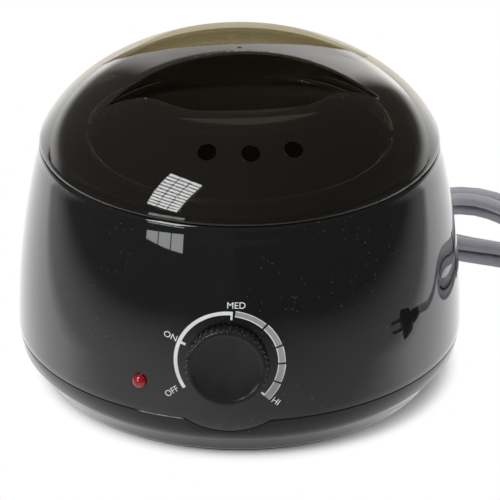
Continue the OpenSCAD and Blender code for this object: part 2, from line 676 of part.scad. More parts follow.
block_y = clamp_y - 30;
block_w = 30;
block_d = 14;
block_h = 11;
block_pitch = 9.5;
module terminal_block() color([0.9, 0.9, 0.86]) difference() {
  translate([-block_w / 2, block_y - block_d / 2, floor_z]) cube([block_w, block_d, block_h]);
  for (x = [-block_pitch, 0, block_pitch]) {
    translate([x, block_y, floor_z + 4]) rotate([90, 0, 0]) cylinder(h = 40, r = 2, center = true);
    for (y = [-3.5, 3.5]) translate([x, block_y + y, floor_z + 4]) cylinder(h = 20, r = 1.7);
  }
}

module terminal_screws() color([0.75, 0.68, 0.4])
  for (x = [-block_pitch, 0, block_pitch], y = [-3.5, 3.5])
    translate([x, block_y + y, floor_z + 5.4]) difference() {
      cylinder(h = 4.6, r = 1.65);
      translate([-2, -0.25, 4]) cube([4, 0.5, 2]);
    }

module cord_clamp() color([0.15, 0.15, 0.16]) difference() {
  translate([-clamp_x - 4, clamp_y - 4, outlet_z + 0.4]) cube([2 * clamp_x + 8, 8, 4.6]);
  translate([0, clamp_y - 10, outlet_z]) rotate([-90, 0, 0]) cylinder(h = 20, r = cord_r + 0.02);
  for (x = [-clamp_x, clamp_x]) translate([x, clamp_y, 0])
    cylinder(h = 40, r = screw_d / 2 + bolt_clear);
}

module clamp_screws() color([0.6, 0.6, 0.62]) for (x = [-clamp_x, clamp_x])
  translate([x, clamp_y, outlet_z + 5]) screw(9);

// Internal wires, kept in the space between the pot's sleeve and the wall
module wire(points, d) tube(smooth(points, 3), d / 2, 6, [undef, undef]);

module wire_live() color([0.45, 0.2, 0.08]) wire([
  [-block_pitch, block_y - 5, floor_z + 4], [-block_pitch, block_y - 12, floor_z + 4],
  [-20, 14, 10], [-40, -14, 13], [-38, -44, 15], [-24, -68, 17],
  dial_point([-10, -thermo_h / 2 - 13.1, thermo_pin_z - 2]),
  dial_point([-6, -thermo_h / 2 - 9.3, thermo_pin_z - 0.3]),
  dial_point([-6, -thermo_h / 2 - 6.3, thermo_pin_z])], wire_d);

// From the thermostat to the band's first ear, and from its second ear to the fuse
module wire_heater() color([0.7, 0.15, 0.1]) {
  ear_y = band_r + band_t + band_ear - 1.4;
  ear_z = band_z + band_h / 2 - 6.7;
  under_z = (floor_z + block_h + pot_z) / 2;
  wire([
    dial_point([6, -thermo_h / 2 - 6.3, thermo_pin_z]),
    dial_point([6, -thermo_h / 2 - 9.3, thermo_pin_z - 0.3]),
    dial_point([11, -thermo_h / 2 - 13.9, thermo_pin_z - 4.1]), [31, -62, 17], [52, -38, 15],
    [63, -8, 15], [60, 26, 15], [40, 54, 16], [24, ear_y + 2.5, ear_z - 25.8],
    [11, ear_y + 7.5, ear_z - 13.8], [band_cut + 0.5, ear_y + 4.5, ear_z - 4.8],
    [band_cut, ear_y, ear_z]], wire_d);
  wire([
    [-band_cut, ear_y, ear_z], [-band_cut - 0.5, ear_y + 4.5, ear_z - 5.8],
    [-6, ear_y + 5.5, ear_z - 14.8], [-2, ear_y + 0.5, (pot_z + ear_z) / 2 - 14],
    [3, ear_y - 13.5, under_z], [7, block_y + 4, under_z], [8.5, block_y - 8, (under_z + pot_z) / 2 - 2.2],
    [fuse_x - 13.5, fuse_y + 0.8, pot_z - 3.2], [fuse_x - 11.8, fuse_y, pot_z - fuse_r - 0.1]], 1.6);
}

module wire_neutral() color([0.1, 0.2, 0.55]) wire([
  [block_pitch, block_y - 5, floor_z + 4], [block_pitch, block_y - 12, floor_z + 4],
  [20, 12, 13], [32, 9, 19], [fuse_x + 18, fuse_y - 6, pot_z - 5],
  [fuse_x + 15, fuse_y - 0.8, pot_z - 2.5], [fuse_x + 11.8, fuse_y, pot_z - fuse_r - 0.1]], 1.6);

module wire_lamp() color([0.1, 0.1, 0.1]) wire([
  [0, block_y - 5, floor_z + 4], [0, block_y - 12, floor_z + 4], [-14, 2, 9], [-34, -28, 10],
  [-44, -50, 12], [-41, -66, 17], lamp_point([-5.8, -8.8, -10.8]), lamp_point([-4.6, -3.85, -9.4])],
  1.6);

module inlet_lead() color([0.1, 0.1, 0.1]) translate([0, lead_y, outlet_z]) rotate([-90, 0, 0])
  cylinder(h = outlet_r - 6 - lead_y, r = cord_r);

// The three bare cores between the cord's sheath and the terminal block
module inlet_cores() color([0.5, 0.3, 0.2]) for (x = [-1, 0, 1]) wire([
  [x * 1.7, lead_y - 0.2, outlet_z], [x * 3, lead_y - 3, outlet_z - 0.8],
  [x * 7, lead_y - 7, outlet_z - 3.6], [x * block_pitch, block_y + 8.5, floor_z + 4],
  [x * block_pitch, block_y + 1, floor_z + 4]], 1.5);

// Tapered sleeve that leads the cord out of the casing, bent a little towards the table
module strain_relief() color([0.08, 0.08, 0.085]) {
  n = 5;
  drop = outlet_z - relief_tip_z;
  start = outlet_r + 1.8;
  len = relief_y - start;
  difference() {
    union() {
      translate([0, relief_seat_y - 0.5, outlet_z]) rotate([-90, 0, 0])
        cylinder(h = start - relief_seat_y + 1, r = relief_hole_r - 0.1);
      translate([0, relief_seat_y - 2, outlet_z]) rotate([-90, 0, 0])
        cylinder(h = 2, r = relief_hole_r + 1.6);
      translate([0, start, outlet_z]) rotate([-90, 0, 0]) cylinder(h = 2, r = relief_hole_r + 1.8);
      relief_tail(start + 1.9, len - 1.9, drop);
    }
    translate([0, lead_y + 3, outlet_z]) rotate([-90, 0, 0])
      cylinder(h = outlet_r - 6 - lead_y - 3 + 0.02, r = cord_r + 0.02);
  }
}

// The tail, a row of rings that narrow and droop
module relief_tail(y, length, drop) {
  n = 6;
  slope = atan(drop / length);
  translate([0, y - 1, outlet_z]) rotate([-90 - slope, 0, 0]) turned(concat([[0, -0.5]],
    [for (i = [0:n - 1]) let (t = i / n, r = relief_hole_r + 1 - (relief_hole_r - cord_r - 0.2) * t,
       z = length / cos(slope) * t)
      each [[r, z + 0.2], [r, z + length / n * 0.62], [r - 0.9, z + length / n * 0.68],
            [r - 0.9, z + length / n * 0.96]]],
    [[cord_r + 0.4, length / cos(slope)], [0, length / cos(slope)]]));
}

// Tube swept along a list of points, with a ring of sides at each
module tube(path, r, sides, ends) {
  n = len(path);
  function unit(v) = v / norm(v);
  function ahead(i) = i == 0 && ends[0] != undef ? ends[0]
    : i == n - 1 && ends[1] != undef ? ends[1]
    : unit(path[min(i + 1, n - 1)] - path[max(i - 1, 0)]);
  rings = [for (i = [0:n - 1])
    let (t = unit(ahead(i)), side = unit(cross([0, 0, 1], t)), top = cross(t, side))
    for (k = [0:sides - 1]) let (a = 360 * (k + 0.5) / sides)
      path[i] + r * (cos(a) * side + sin(a) * top)];
  polyhedron(points = rings, faces = concat(
    [[for (k = [sides - 1:-1:0]) k]],
    [for (i = [0:n - 2], k = [0:sides - 1]) let (a = i * sides + k, b = i * sides + (k + 1) % sides)
      each [[a, b, b + sides], [a, b + sides, a + sides]]],
    [[for (k = [0:sides - 1]) (n - 1) * sides + k]]));
}

// Smooth curve through route points: m places between each pair
function smooth(p, m) = concat([for (i = [0:len(p) - 2], j = [0:m - 1])
  let (t = j / m, a = p[max(i - 1, 0)], b = p[i], c = p[i + 1], d = p[min(i + 2, len(p) - 1)])
  0.5 * (2 * b + (c - a) * t + (2 * a - 5 * b + 4 * c - d) * t * t
    + (3 * b - a - 3 * c + d) * t * t * t)], [p[len(p) - 1]]);

// Hank: a race-track spiral that winds in on the table and out again on top, drawn in at the waist,
// where it lies on its tie
hank_turn_in = hank_loops / 2;
function hank_r(t) = hank_in_r + hank_step * abs(t - hank_turn_in);
function hank_waist(x) = 0.5 + 0.5 * cos(360 * x / hank_run);
function hank_point(t) = let (
    f = t - floor(t), r = hank_r(t), h = hank_run / 2,
    s = f < 0.3 ? f / 0.3 : f < 0.5 ? (f - 0.3) / 0.2 : f < 0.8 ? (f - 0.5) / 0.3 : (f - 0.8) / 0.2,
    x = f < 0.3 ? -h + hank_run * s : f < 0.5 ? h + r * sin(180 * s)
      : f < 0.8 ? h - hank_run * s : -h - r * sin(180 * s),
    drawn = abs(x) < h ? hank_waist(x) : 0,
    y = f < 0.3 ? r - hank_draw * drawn : f < 0.5 ? r * cos(180 * s)
      : f < 0.8 ? hank_draw * drawn - r : -r * cos(180 * s),
    z = table_z + (tie_t + 0.05) * drawn
      + hank_climb * min(1, max(0, (t - hank_turn_in + 0.25) / 0.5)))
  [hank_at[0] + x * cos(hank_turn) - y * sin(hank_turn),
   hank_at[1] + x * sin(hank_turn) + y * cos(hank_turn), z];
hank_rings = 24;
hank_path = [for (i = [0:hank_loops * hank_rings]) hank_point(i / hank_rings)];
// Least gap of the hank to itself, over points more than a third of a loop apart
hank_gap = min([for (i = [0:len(hank_path) - 1], j = [i + 8:1:len(hank_path) - 1])
  norm(hank_path[i] - hank_path[j])]) - cord_d;

module mains_cord() color([0.62, 0.6, 0.66]) {
  echo(hank_gap = hank_gap);
  first = smooth(concat(cord_route, [hank_path[0]]), 3);
  last = smooth(concat([hank_path[len(hank_path) - 1]], tail_route), 3);
  tube(concat([for (i = [0:len(first) - 2]) first[i]], hank_path, [for (i = [1:len(last) - 1]) last[i]]),
    cord_r, 6, [undef, undef]);
}

module cord_tie() color([0.1, 0.1, 0.1]) translate([hank_at[0], hank_at[1], 0])
  rotate([0, 0, hank_turn]) difference() {
    right = hank_in_r + hank_step * (hank_turn_in - 0.15) - hank_draw + cord_r + 0.3;
    left = hank_in_r + hank_step * (hank_turn_in - 0.65) - hank_draw + cord_r + 0.3;
    high = table_z + hank_climb + tie_t + cord_r + 0.3;
    translate([-2, -left - tie_t, 0.02]) cube([4, left + right + 2 * tie_t, high + tie_t]);
    translate([-3, -left, 0.02 + tie_t]) cube([6, left + right, high - tie_t]);
  }

module plug_body() color([0.1, 0.1, 0.1]) translate(plug_at) rotate([90, 0, plug_turn]) {
  turned([[0, 0], [cord_r + 0.6, 0], [cord_r + 1.2, 12], [cord_r + 2.2, 16], [0, 16]]);
  difference() {
    hull() {
      for (x = [-6, 6]) translate([x, 0, 14]) cylinder(h = 2, r = 5.5, $fn = 32);
      for (x = [-11, 11]) translate([x, 0, 26]) cylinder(h = 9, r = 6.8, $fn = 32);
    }
    for (x = [-pin_pitch / 2, pin_pitch / 2]) translate([x, 0, 29]) cylinder(h = 20, r = pin_d / 2 + fit);
  }
}

module plug_pins() color([0.8, 0.8, 0.8]) translate(plug_at) rotate([90, 0, plug_turn])
  for (x = [-pin_pitch / 2, pin_pitch / 2]) translate([x, 0, 29.2]) {
    cylinder(h = 5.8 + pin_len - pin_d / 2, r = pin_d / 2);
    translate([0, 0, 5.8 + pin_len - pin_d / 2]) sphere(r = pin_d / 2, $fn = 48);
  }

housing();
lower_casing();
rubber_feet();
casing_screws();
lid();
wax_can();
can_ears();
ear_rivets();
bail_handle();
heating_pot();
heater_band();
band_screw();
insulation_sleeve();
pot_bracket();
bracket_screws();
pot_washer();
pot_nut();
thermal_fuse();
fuse_clip();
thermostat_body();
thermostat_nut();
thermostat_shaft();
knob_spring();
control_knob();
indicator_lens();
indicator_board();
terminal_block();
terminal_screws();
cord_clamp();
clamp_screws();
wire_live();
wire_neutral();
wire_heater();
wire_lamp();
inlet_lead();
inlet_cores();
strain_relief();
mains_cord();
cord_tie();
plug_body();
plug_pins();
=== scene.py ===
from math import asin, atan, cos, pi, radians, sin, sqrt

import bpy
from mathutils import Matrix, Vector


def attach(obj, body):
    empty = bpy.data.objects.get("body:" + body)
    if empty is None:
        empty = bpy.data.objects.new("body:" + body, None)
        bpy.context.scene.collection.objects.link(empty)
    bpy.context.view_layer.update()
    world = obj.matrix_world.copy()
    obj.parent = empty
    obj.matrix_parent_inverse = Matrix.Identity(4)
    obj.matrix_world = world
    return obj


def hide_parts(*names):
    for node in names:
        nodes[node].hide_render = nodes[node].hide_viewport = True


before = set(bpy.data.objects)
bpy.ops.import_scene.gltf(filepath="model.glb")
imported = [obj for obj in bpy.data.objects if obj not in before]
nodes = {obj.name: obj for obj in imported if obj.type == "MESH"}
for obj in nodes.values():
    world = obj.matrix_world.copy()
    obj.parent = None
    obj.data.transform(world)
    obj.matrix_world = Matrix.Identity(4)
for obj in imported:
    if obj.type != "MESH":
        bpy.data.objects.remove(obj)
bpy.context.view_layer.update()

MM = 0.001


# ------------------------------------------------------------------ camera
def look_from(place, at, lens, shift):
    camera = bpy.data.objects.new("camera", bpy.data.cameras.new("camera"))
    bpy.context.scene.collection.objects.link(camera)
    camera.location = place
    camera.rotation_euler = (Vector(at) - Vector(place)).to_track_quat("-Z", "Y").to_euler()
    camera.data.lens = lens
    camera.data.sensor_width = 36
    camera.data.shift_x, camera.data.shift_y = shift
    bpy.context.scene.camera = camera


look_from((0.07798, -1.48790, 0.79960), (0, 0, 0.070), 288, (0.0208, -0.0858))


# ------------------------------------------------------------------ hand tools
def rest():
    """Back to object mode, with nothing selected."""
    if bpy.context.mode != "OBJECT":
        bpy.ops.object.mode_set(mode="OBJECT")
    bpy.ops.object.select_all(action="DESELECT")


def take(*objects):
    rest()
    for one in objects:
        one.select_set(True)
    bpy.context.view_layer.objects.active = objects[0]
    return objects[0]


def edit(one, mode="VERT"):
    take(one)
    bpy.ops.object.mode_set(mode="EDIT")
    bpy.ops.mesh.select_mode(type=mode)
    bpy.ops.mesh.select_all(action="DESELECT")


def pick(one, test, kind="polygons"):
    """Selects the faces, edges or points that pass a test, and goes on in edit mode."""
    bpy.ops.object.mode_set(mode="OBJECT")
    for part in getattr(one.data, kind):
        part.select = bool(test(part))
    bpy.ops.object.mode_set(mode="EDIT")


def first_point(name, place):
    """One point to draw from: a small plane merged to its middle."""
    rest()
    bpy.ops.mesh.primitive_plane_add(size=MM, location=(0, 0, 0))
    one = bpy.context.object
    one.name = one.data.name = name
    edit(one)
    bpy.ops.mesh.select_all(action="SELECT")
    bpy.ops.mesh.merge(type="CENTER")
    bpy.ops.transform.translate(value=place)
    return one


def draw(places):
    """Extrudes the selected point along a row of places, in metres."""
    for a, b in zip(places, places[1:]):
        step = Vector(b) - Vector(a)
        bpy.ops.mesh.extrude_vertices_move(TRANSFORM_OT_translate={"value": step})


def tidy_mesh(one):
    bpy.ops.mesh.select_all(action="SELECT")
    bpy.ops.mesh.remove_doubles(threshold=1e-6)
    bpy.ops.mesh.normals_make_consistent(inside=False)
    rest()
    return one


def turned(name, profile, steps=128):
    """A profile of (radius, height) in millimetres, spun round the upright axis."""
    places = [(r * MM, 0, z * MM) for r, z in profile]
    one = first_point(name, places[0])
    draw(places)
    bpy.ops.mesh.select_all(action="SELECT")
    bpy.ops.mesh.spin(steps=steps, angle=2 * pi, center=(0, 0, 0), axis=(0, 0, 1))
    return tidy_mesh(one)


def prism(name, outline, low, high):
    """An outline of (x, y) in millimetres, filled and drawn up from low to high."""
    places = [(x * MM, y * MM, low * MM) for x, y in outline]
    one = first_point(name, places[0])
    draw(places)
    bpy.ops.mesh.select_all(action="SELECT")
    bpy.ops.mesh.edge_face_add()
    bpy.ops.mesh.extrude_region_move(TRANSFORM_OT_translate={"value": (0, 0, (high - low) * MM)})
    return tidy_mesh(one)


def rod(name, radius, low, high, sides=48):
    """A plain cylinder between two heights."""
    rest()
    bpy.ops.mesh.primitive_cylinder_add(vertices=sides, radius=radius * MM,
                                        depth=(high - low) * MM, location=(0, 0, (low + high) / 2 * MM))
    one = bpy.context.object
    one.name = name
    return settle(one)


def block(name, low, high):
    """A plain box between two corners."""
    rest()
    middle = [(a + b) / 2 * MM for a, b in zip(low, high)]
    bpy.ops.mesh.primitive_cube_add(size=1, location=middle)
    one = bpy.context.object
    one.name = name
    one.scale = [(b - a) * MM for a, b in zip(low, high)]
    return settle(one)


def settle(one, place=None):
    """Puts the object's place, or the one given, in its mesh."""
    take(one)
    if place is not None:
        one.matrix_world = place
    bpy.ops.object.transform_apply(location=True, rotation=True, scale=True)
    return one


def copies(one, places):
    """The piece at each place, with its own mesh, joined to one."""
    made = []
    for place in places:
        other = one.copy()
        other.data = one.data.copy()
        bpy.context.scene.collection.objects.link(other)
        made.append(settle(other, place))
    bpy.data.objects.remove(one)
    take(*made)
    if len(made) > 1:
        bpy.ops.object.join()
    return made[0]


def modify(one, kind, **settings):
    """Adds a modifier and applies it."""
    step = one.modifiers.new(kind.lower(), kind)
    for key, value in settings.items():
        setattr(step, key, value)
    take(one)
    bpy.ops.object.modifier_apply(modifier=step.name)
    return one


def carve(one, tool, how="DIFFERENCE"):
    modify(one, "BOOLEAN", operation=how, solver="EXACT", object=tool)
    bpy.data.objects.remove(tool)
    return one


def smooth(one, angle=32):
    take(one)
    bpy.ops.object.shade_smooth_by_angle(angle=radians(angle))
    return one


def piece(one, body, slot, finish, *replaced):
    """A finished piece: its finish, the body that it rides, and the CAD nodes that it stands for."""
    one.data.materials.clear()
    one.data.materials.append(finish)
    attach(one, body)
    if replaced:
        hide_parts(*replaced)
    return one


# ------------------------------------------------------------------ cord, first of all
CORD_R = 2.8
RELIEF_Y, RELIEF_START, OUTLET_Z, EXIT_Z = 125.107, 94.8, 13.5, 9.5
HANK_AT, HANK_TURN, HANK_RUN = (132, RELIEF_Y - 34.1), radians(-36), 96
HANK_LOOPS, HANK_MID = 3.375, 3.375 / 2
HANK_R, HANK_SPREAD, HANK_WAIST = 17, 6.5, 10.5
HANK_Z, HANK_LAYER = 2.85, 6.1
TURN_STEPS, ROUTE_STEPS = 48, 5
ROUTE = [(x, RELIEF_Y + y, z) for x, y, z in (
    (0, -0.94, 9.5), (0.3, 5.9, 8.5), (2, 12.9, 7.2), (7, 20.9, 5.4), (16, 27.2, 4),
    (28, 31, 3.1), (42, 33.3, 2.9), (56, 34, 2.9), (70, 32.9, 2.9), (83, 29.7, 2.9),
    (96, 24.6, 2.88))]
TAIL = [(HANK_AT[0] + x, HANK_AT[1] + y, z) for x, y, z in (
    (63.8, -43.7, 8.1), (61.7, -52.6, 6), (59.4, -62.4, 3.8), (57.5, -71.3, 2.9), (55.8, -80.2, 2.9),
    (54.2, -89.1, 3.7), (53, -97, 5.4), (51.9, -103.9, 6.8), (51.2, -109.9, 7))]


def hank_point(t):
    """A turn of the hank: two long runs, drawn in at the waist, and two round ends."""
    f, half = t - int(t), HANK_RUN / 2
    r = HANK_R + HANK_SPREAD * abs(t - HANK_MID)
    if f < 0.3:
        x = -half + HANK_RUN * f / 0.3
    elif f < 0.5:
        x = half + r * sin(pi * (f - 0.3) / 0.2)
    elif f < 0.8:
        x = half - HANK_RUN * (f - 0.5) / 0.3
    else:
        x = -half - r * sin(pi * (f - 0.8) / 0.2)
    drawn = 0.5 + 0.5 * cos(2 * pi * x / HANK_RUN) if abs(x) < half else 0
    if f < 0.3:
        y = r - HANK_WAIST * drawn
    elif f < 0.5:
        y = r * cos(pi * (f - 0.3) / 0.2)
    elif f < 0.8:
        y = HANK_WAIST * drawn - r
    else:
        y = -r * cos(pi * (f - 0.8) / 0.2)
    z = HANK_Z + 0.65 * drawn + HANK_LAYER * min(1, max(0, (t - HANK_MID + 0.25) / 0.5))
    return (HANK_AT[0] + x * cos(HANK_TURN) - y * sin(HANK_TURN),
            HANK_AT[1] + x * sin(HANK_TURN) + y * cos(HANK_TURN), z)


def smooth_path(points, m):
    """A smooth curve through points, with m places between each pair."""
    p, path = [Vector(q) for q in points], []
    for i in range(len(p) - 1):
        a, b, c, d = p[max(i - 1, 0)], p[i], p[i + 1], p[min(i + 2, len(p) - 1)]
        for j in range(m):
            t = j / m
            path.append(0.5 * (2 * b + (c - a) * t + (2 * a - 5 * b + 4 * c - d) * t * t
                               + (3 * b - a - 3 * c + d) * t ** 3))
    return path + [p[-1]]


hank = [hank_point(i / TURN_STEPS) for i in range(int(HANK_LOOPS * TURN_STEPS) + 1)]
cord_path = (smooth_path(ROUTE + [hank[0]], ROUTE_STEPS)[:-1] + [Vector(q) for q in hank]
             + smooth_path([hank[-1]] + TAIL, ROUTE_STEPS)[1:])
cord_length = sum((b - a).length for a, b in zip(cord_path, cord_path[1:])) * MM
curve = bpy.data.curves.new("mains_lead", "CURVE")
curve.dimensions = "3D"
curve.bevel_depth = CORD_R * MM
curve.bevel_resolution = 7
spline = curve.splines.new("POLY")
spline.points.add(len(cord_path) - 1)
for point, q in zip(spline.points, cord_path):
    point.co = (*(q * MM), 1)
spline.use_smooth = True
lead = bpy.data.objects.new("mains_lead", curve)
bpy.context.scene.collection.objects.link(lead)


# ------------------------------------------------------------------ finishes
class Value:
    """A number in a material, so that a sum of them reads as a sum."""

    def __init__(self, shop, socket):
        self.shop, self.socket = shop, socket

    def maths(self, operation, *others, clamp=False):
        return self.shop.node("ShaderNodeMath", {"operation": operation, "use_clamp": clamp},
                              *others)

    def __add__(self, other):
        return self.maths("ADD", self, other)

    def __sub__(self, other):
        return self.maths("SUBTRACT", self, other)

    def __mul__(self, other):
        return self.maths("MULTIPLY", self, other)

    def __truediv__(self, other):
        return self.maths("DIVIDE", self, other)

    def __rsub__(self, other):
        return self.maths("SUBTRACT", other, self)

    def __pow__(self, other):
        return self.maths("POWER", self, other)

    def __gt__(self, other):
        return self.maths("GREATER_THAN", self, other)

    def __lt__(self, other):
        return self.maths("LESS_THAN", self, other)

    __radd__, __rmul__ = __add__, __mul__

    def most(self, other):
        return self.maths("MAXIMUM", self, other)

    def between(self, low, high, to_low=0, to_high=1):
        """Eased from to_low to to_high as the value goes from low to high."""
        return self.shop.node("ShaderNodeMapRange", {"interpolation_type": "SMOOTHSTEP"},
                              self, low, high, to_low, to_high)


class Finish:
    """One procedural material, built from its nodes."""

    def __init__(self, name, tree=None):
        if tree is None:
            self.material = bpy.data.materials.new(name)
            self.material.use_nodes = True
            tree = self.material.node_tree
        self.tree = tree
        tree.nodes.clear()

    def node(self, kind, settings, *values, out=0, **named):
        made = self.tree.nodes.new(kind)
        for key, value in settings.items():
            if key == "stops":
                ramp = made.color_ramp
                while len(ramp.elements) < len(value):
                    ramp.elements.new(0.5)
                for stop, (place, colour) in zip(ramp.elements, value):
                    stop.position, stop.color = place, (*colour, 1)
            else:
                setattr(made, key, value)
        sockets = list(zip(made.inputs, values))
        sockets += [(made.inputs[key.replace("_", " ")], value) for key, value in named.items()]
        for socket, value in sockets:
            if value is None:
                continue
            if isinstance(value, Value):
                self.tree.links.new(value.socket, socket)
            elif isinstance(value, (tuple, list)) and socket.type == "RGBA":
                socket.default_value = (*value, 1)
            else:
                socket.default_value = value
        return Value(self, made.outputs[out])

    def place(self):
        return self.node("ShaderNodeTexCoord", {}, out="Object")

    def apart(self, vector):
        """The three numbers of a place."""
        made = self.node("ShaderNodeSeparateXYZ", {}, vector)
        outputs = made.socket.node.outputs
        return [Value(self, outputs[i]) for i in range(3)]

    def noise(self, scale, detail=2, rough=0.5, at=None, stretch=None):
        at = at or self.place()
        if stretch:
            at = self.node("ShaderNodeMapping", {}, at, Scale=stretch)
        return self.node("ShaderNodeTexNoise", {}, at, Scale=scale, Detail=detail,
                         Roughness=rough)

    def specks(self, scale, size, at=None):
        """Small round spots, 1 inside a spot and 0 outside."""
        cells = self.node("ShaderNodeTexVoronoi", {"feature": "F1"}, at or self.place(),
                          Scale=scale, Randomness=1.0)
        return cells.between(size, size * 0.4)

    def mix(self, factor, a, b):
        made = self.tree.nodes.new("ShaderNodeMix")
        made.data_type = "RGBA"
        for socket, value in zip([made.inputs[0], made.inputs[6], made.inputs[7]], (factor, a, b)):
            if isinstance(value, Value):
                self.tree.links.new(value.socket, socket)
            elif isinstance(value, (tuple, list)):
                socket.default_value = (*value, 1)
            else:
                socket.default_value = value
        return Value(self, made.outputs[2])

    def bump(self, height, depth, strength=1.0):
        return self.node("ShaderNodeBump", {}, Strength=strength, Distance=depth, Height=height)

    def end(self, shader):
        output = self.tree.nodes.new("ShaderNodeOutputMaterial")
        self.tree.links.new(shader.socket, output.inputs[0])
        return self.material

    def surface(self, colour, roughness, normal=None, **more):
        """The usual end: a principled surface."""
        return self.end(self.node("ShaderNodeBsdfPrincipled", {}, Base_Color=colour,
                                  Roughness=roughness, Normal=normal, **more))


def gloss_black():
    """Mirror-smooth black moulding, with a little dust and faint wiping marks."""
    f = Finish("gloss black")
    place = f.place()
    dust = f.specks(420, 0.10, place).most(f.specks(190, 0.055, place) * 0.8)
    dust = dust * f.noise(26, 2, at=place).between(0.45, 0.6)
    wipe = f.noise(14, 4, 0.6, place, (1, 1, 5)).between(0.42, 0.72)
    skin = f.noise(95, 2, 0.5, place)
    return f.surface(f.mix(dust * 0.5, (0.006, 0.006, 0.0065), (0.30, 0.30, 0.31)),
                     0.02 + wipe * 0.04 + dust * 0.4,
                     f.bump(skin, 0.00003, 0.2), IOR=1.5, Coat_Weight=1.0, Coat_Roughness=0.015,
                     Coat_IOR=1.5)


def casing_black():
    """Duller moulding than the housing's, with dust and wiping marks."""
    f = Finish("casing black")
    place = f.place()
    dust = f.specks(360, 0.09, place) * f.noise(22, 2, at=place).between(0.45, 0.62)
    wipe = f.noise(18, 4, 0.6, place, (1, 1, 4)).between(0.4, 0.7)
    return f.surface(f.mix(dust * 0.45, (0.008, 0.008, 0.009), (0.26, 0.26, 0.27)),
                     0.07 + wipe * 0.06 + dust * 0.4,
                     f.bump(f.noise(120, 2, 0.5, place), 0.00005, 0.3), IOR=1.5)


def knob_black():
    """Satin moulding with a fine grain."""
    f = Finish("knob black")
    place = f.place()
    grain = f.noise(2600, 3, 0.6, place)
    wear = f.noise(60, 3, 0.6, place).between(0.4, 0.7)
    return f.surface(f.mix(wear * 0.4, (0.012, 0.012, 0.012), (0.022, 0.022, 0.021)),
                     0.13 + wear * 0.08, f.bump(grain, 0.00002, 0.2), IOR=1.5)


def smoked_lid():
    """Clear smoked moulding: it mirrors the room, and lets most light through behind the crown."""
    f = Finish("smoked lid")
    place = f.place()
    dust = f.specks(380, 0.07, place) * f.noise(24, 2, at=place).between(0.46, 0.6)
    through = f.node("ShaderNodeBsdfTransparent", {}, (0.80, 0.76, 0.64))
    skin = f.node("ShaderNodeBsdfPrincipled", {},
                  Base_Color=f.mix(dust * 0.6, (0.0075, 0.0058, 0.0040), (0.25, 0.24, 0.22)),
                  Roughness=0.015 + dust * 0.3, IOR=1.7, Coat_Weight=1.0, Coat_Roughness=0.01,
                  Coat_IOR=1.5)
    facing = f.node("ShaderNodeLayerWeight", {}, 0.35, out="Facing")
    x, y, z = f.apart(place)
    solid = (facing.between(0.2, 0.95, 0.60, 1.0) * y.between(0.0, 0.03, 1.0, 0.34)).most(dust * 0.8)
    return f.end(f.node("ShaderNodeMixShader", {}, solid, through, skin))


def red_lens():
    f = Finish("red lens")
    place = f.place()
    grain = f.noise(900, 2, 0.5, place)
    return f.surface(f.mix(grain, (0.16, 0.002, 0.004), (0.34, 0.006, 0.01)), 0.1,
                     f.bump(grain, 0.00004, 0.25), IOR=1.52, Coat_Weight=1.0, Coat_Roughness=0.02,
                     Emission_Color=(0.5, 0.01, 0.02), Emission_Strength=0.03)


PRINT_X, PRINT_Z = 0.00025, 0.0456
BAND_IN, BAND_OUT, GREY_FROM_X = 0.0202, 0.0220, 0.0027


def print_grey():
    """Pad-printed ink: white, and grey between white edges on the side of the scale that heats more."""
    f = Finish("dial print")
    place = f.place()
    x, y, z = f.apart(place)
    ink = f.noise(700, 3, 0.6, place)
    across, up = x - PRINT_X, z - PRINT_Z
    radius = (across * across + up * up) ** 0.5
    inner = (radius > BAND_IN) * (radius < BAND_OUT + (0.066 - z) * 0.0243)
    filled = inner * (x > GREY_FROM_X) * (radius < 0.0235)
    white = f.mix(ink, (0.66, 0.68, 0.69), (0.80, 0.82, 0.83))
    return f.surface(f.mix(filled, white, f.mix(ink, (0.24, 0.25, 0.25), (0.34, 0.35, 0.35))),
                     0.42 + ink * 0.1, f.bump(ink, 0.00002, 0.3))


def rubber(name, dark, light, rough, scale=900):
    f = Finish(name)
    place = f.place()
    grain = f.noise(scale, 3, 0.6, place)
    bloom = f.noise(scale / 20, 3, 0.6, place).between(0.4, 0.7)
    return f.surface(f.mix(bloom, dark, light), rough + bloom * 0.1,
                     f.bump(grain, 0.00004, 0.4))


def cord_jacket():
    """Smooth flexible jacket, pale lavender grey with a soft sheen."""
    f = Finish("cord jacket")
    place = f.place()
    cloud = f.noise(45, 3, 0.6, place).between(0.35, 0.7)
    grain = f.noise(1500, 2, 0.5, place)
    return f.surface(f.mix(cloud, (0.34, 0.33, 0.37), (0.42, 0.41, 0.45)), 0.36 + cloud * 0.12,
                     f.bump(grain, 0.00003, 0.35), IOR=1.48)


def spun_metal(name, base, rough, ring_scale=1500, lining=None, rim=1.0):
    """Metal spun on a lathe: fine rings round the upright axis, and a dark lining inside if given."""
    f = Finish(name)
    place = f.place()
    x, y, z = f.apart(place)
    radius = (x * x + y * y) ** 0.5
    rings = f.node("ShaderNodeTexNoise", {"noise_dimensions": "1D"}, W=(radius + z * 0.7) * ring_scale,
                   Scale=1.0, Detail=2.0)
    stain = f.noise(35, 4, 0.6, place).between(0.4, 0.75)
    bright = f.mix(stain * 0.6, base, tuple(c * 0.82 for c in base))
    metal, gloss = 1.0, rough + rings * 0.14 + stain * 0.05
    if lining:
        reach, low, high = lining
        coat = ((radius < reach) * (z > low) * (z < high)).most(z > rim)
        bright = f.mix(coat, bright, f.mix(rings, (0.020, 0.019, 0.018), (0.035, 0.033, 0.031)))
        metal = 1 - coat
        gloss = gloss + coat * 0.14
    return f.surface(bright, gloss, f.bump(rings, 0.00003, 0.35), Metallic=metal)


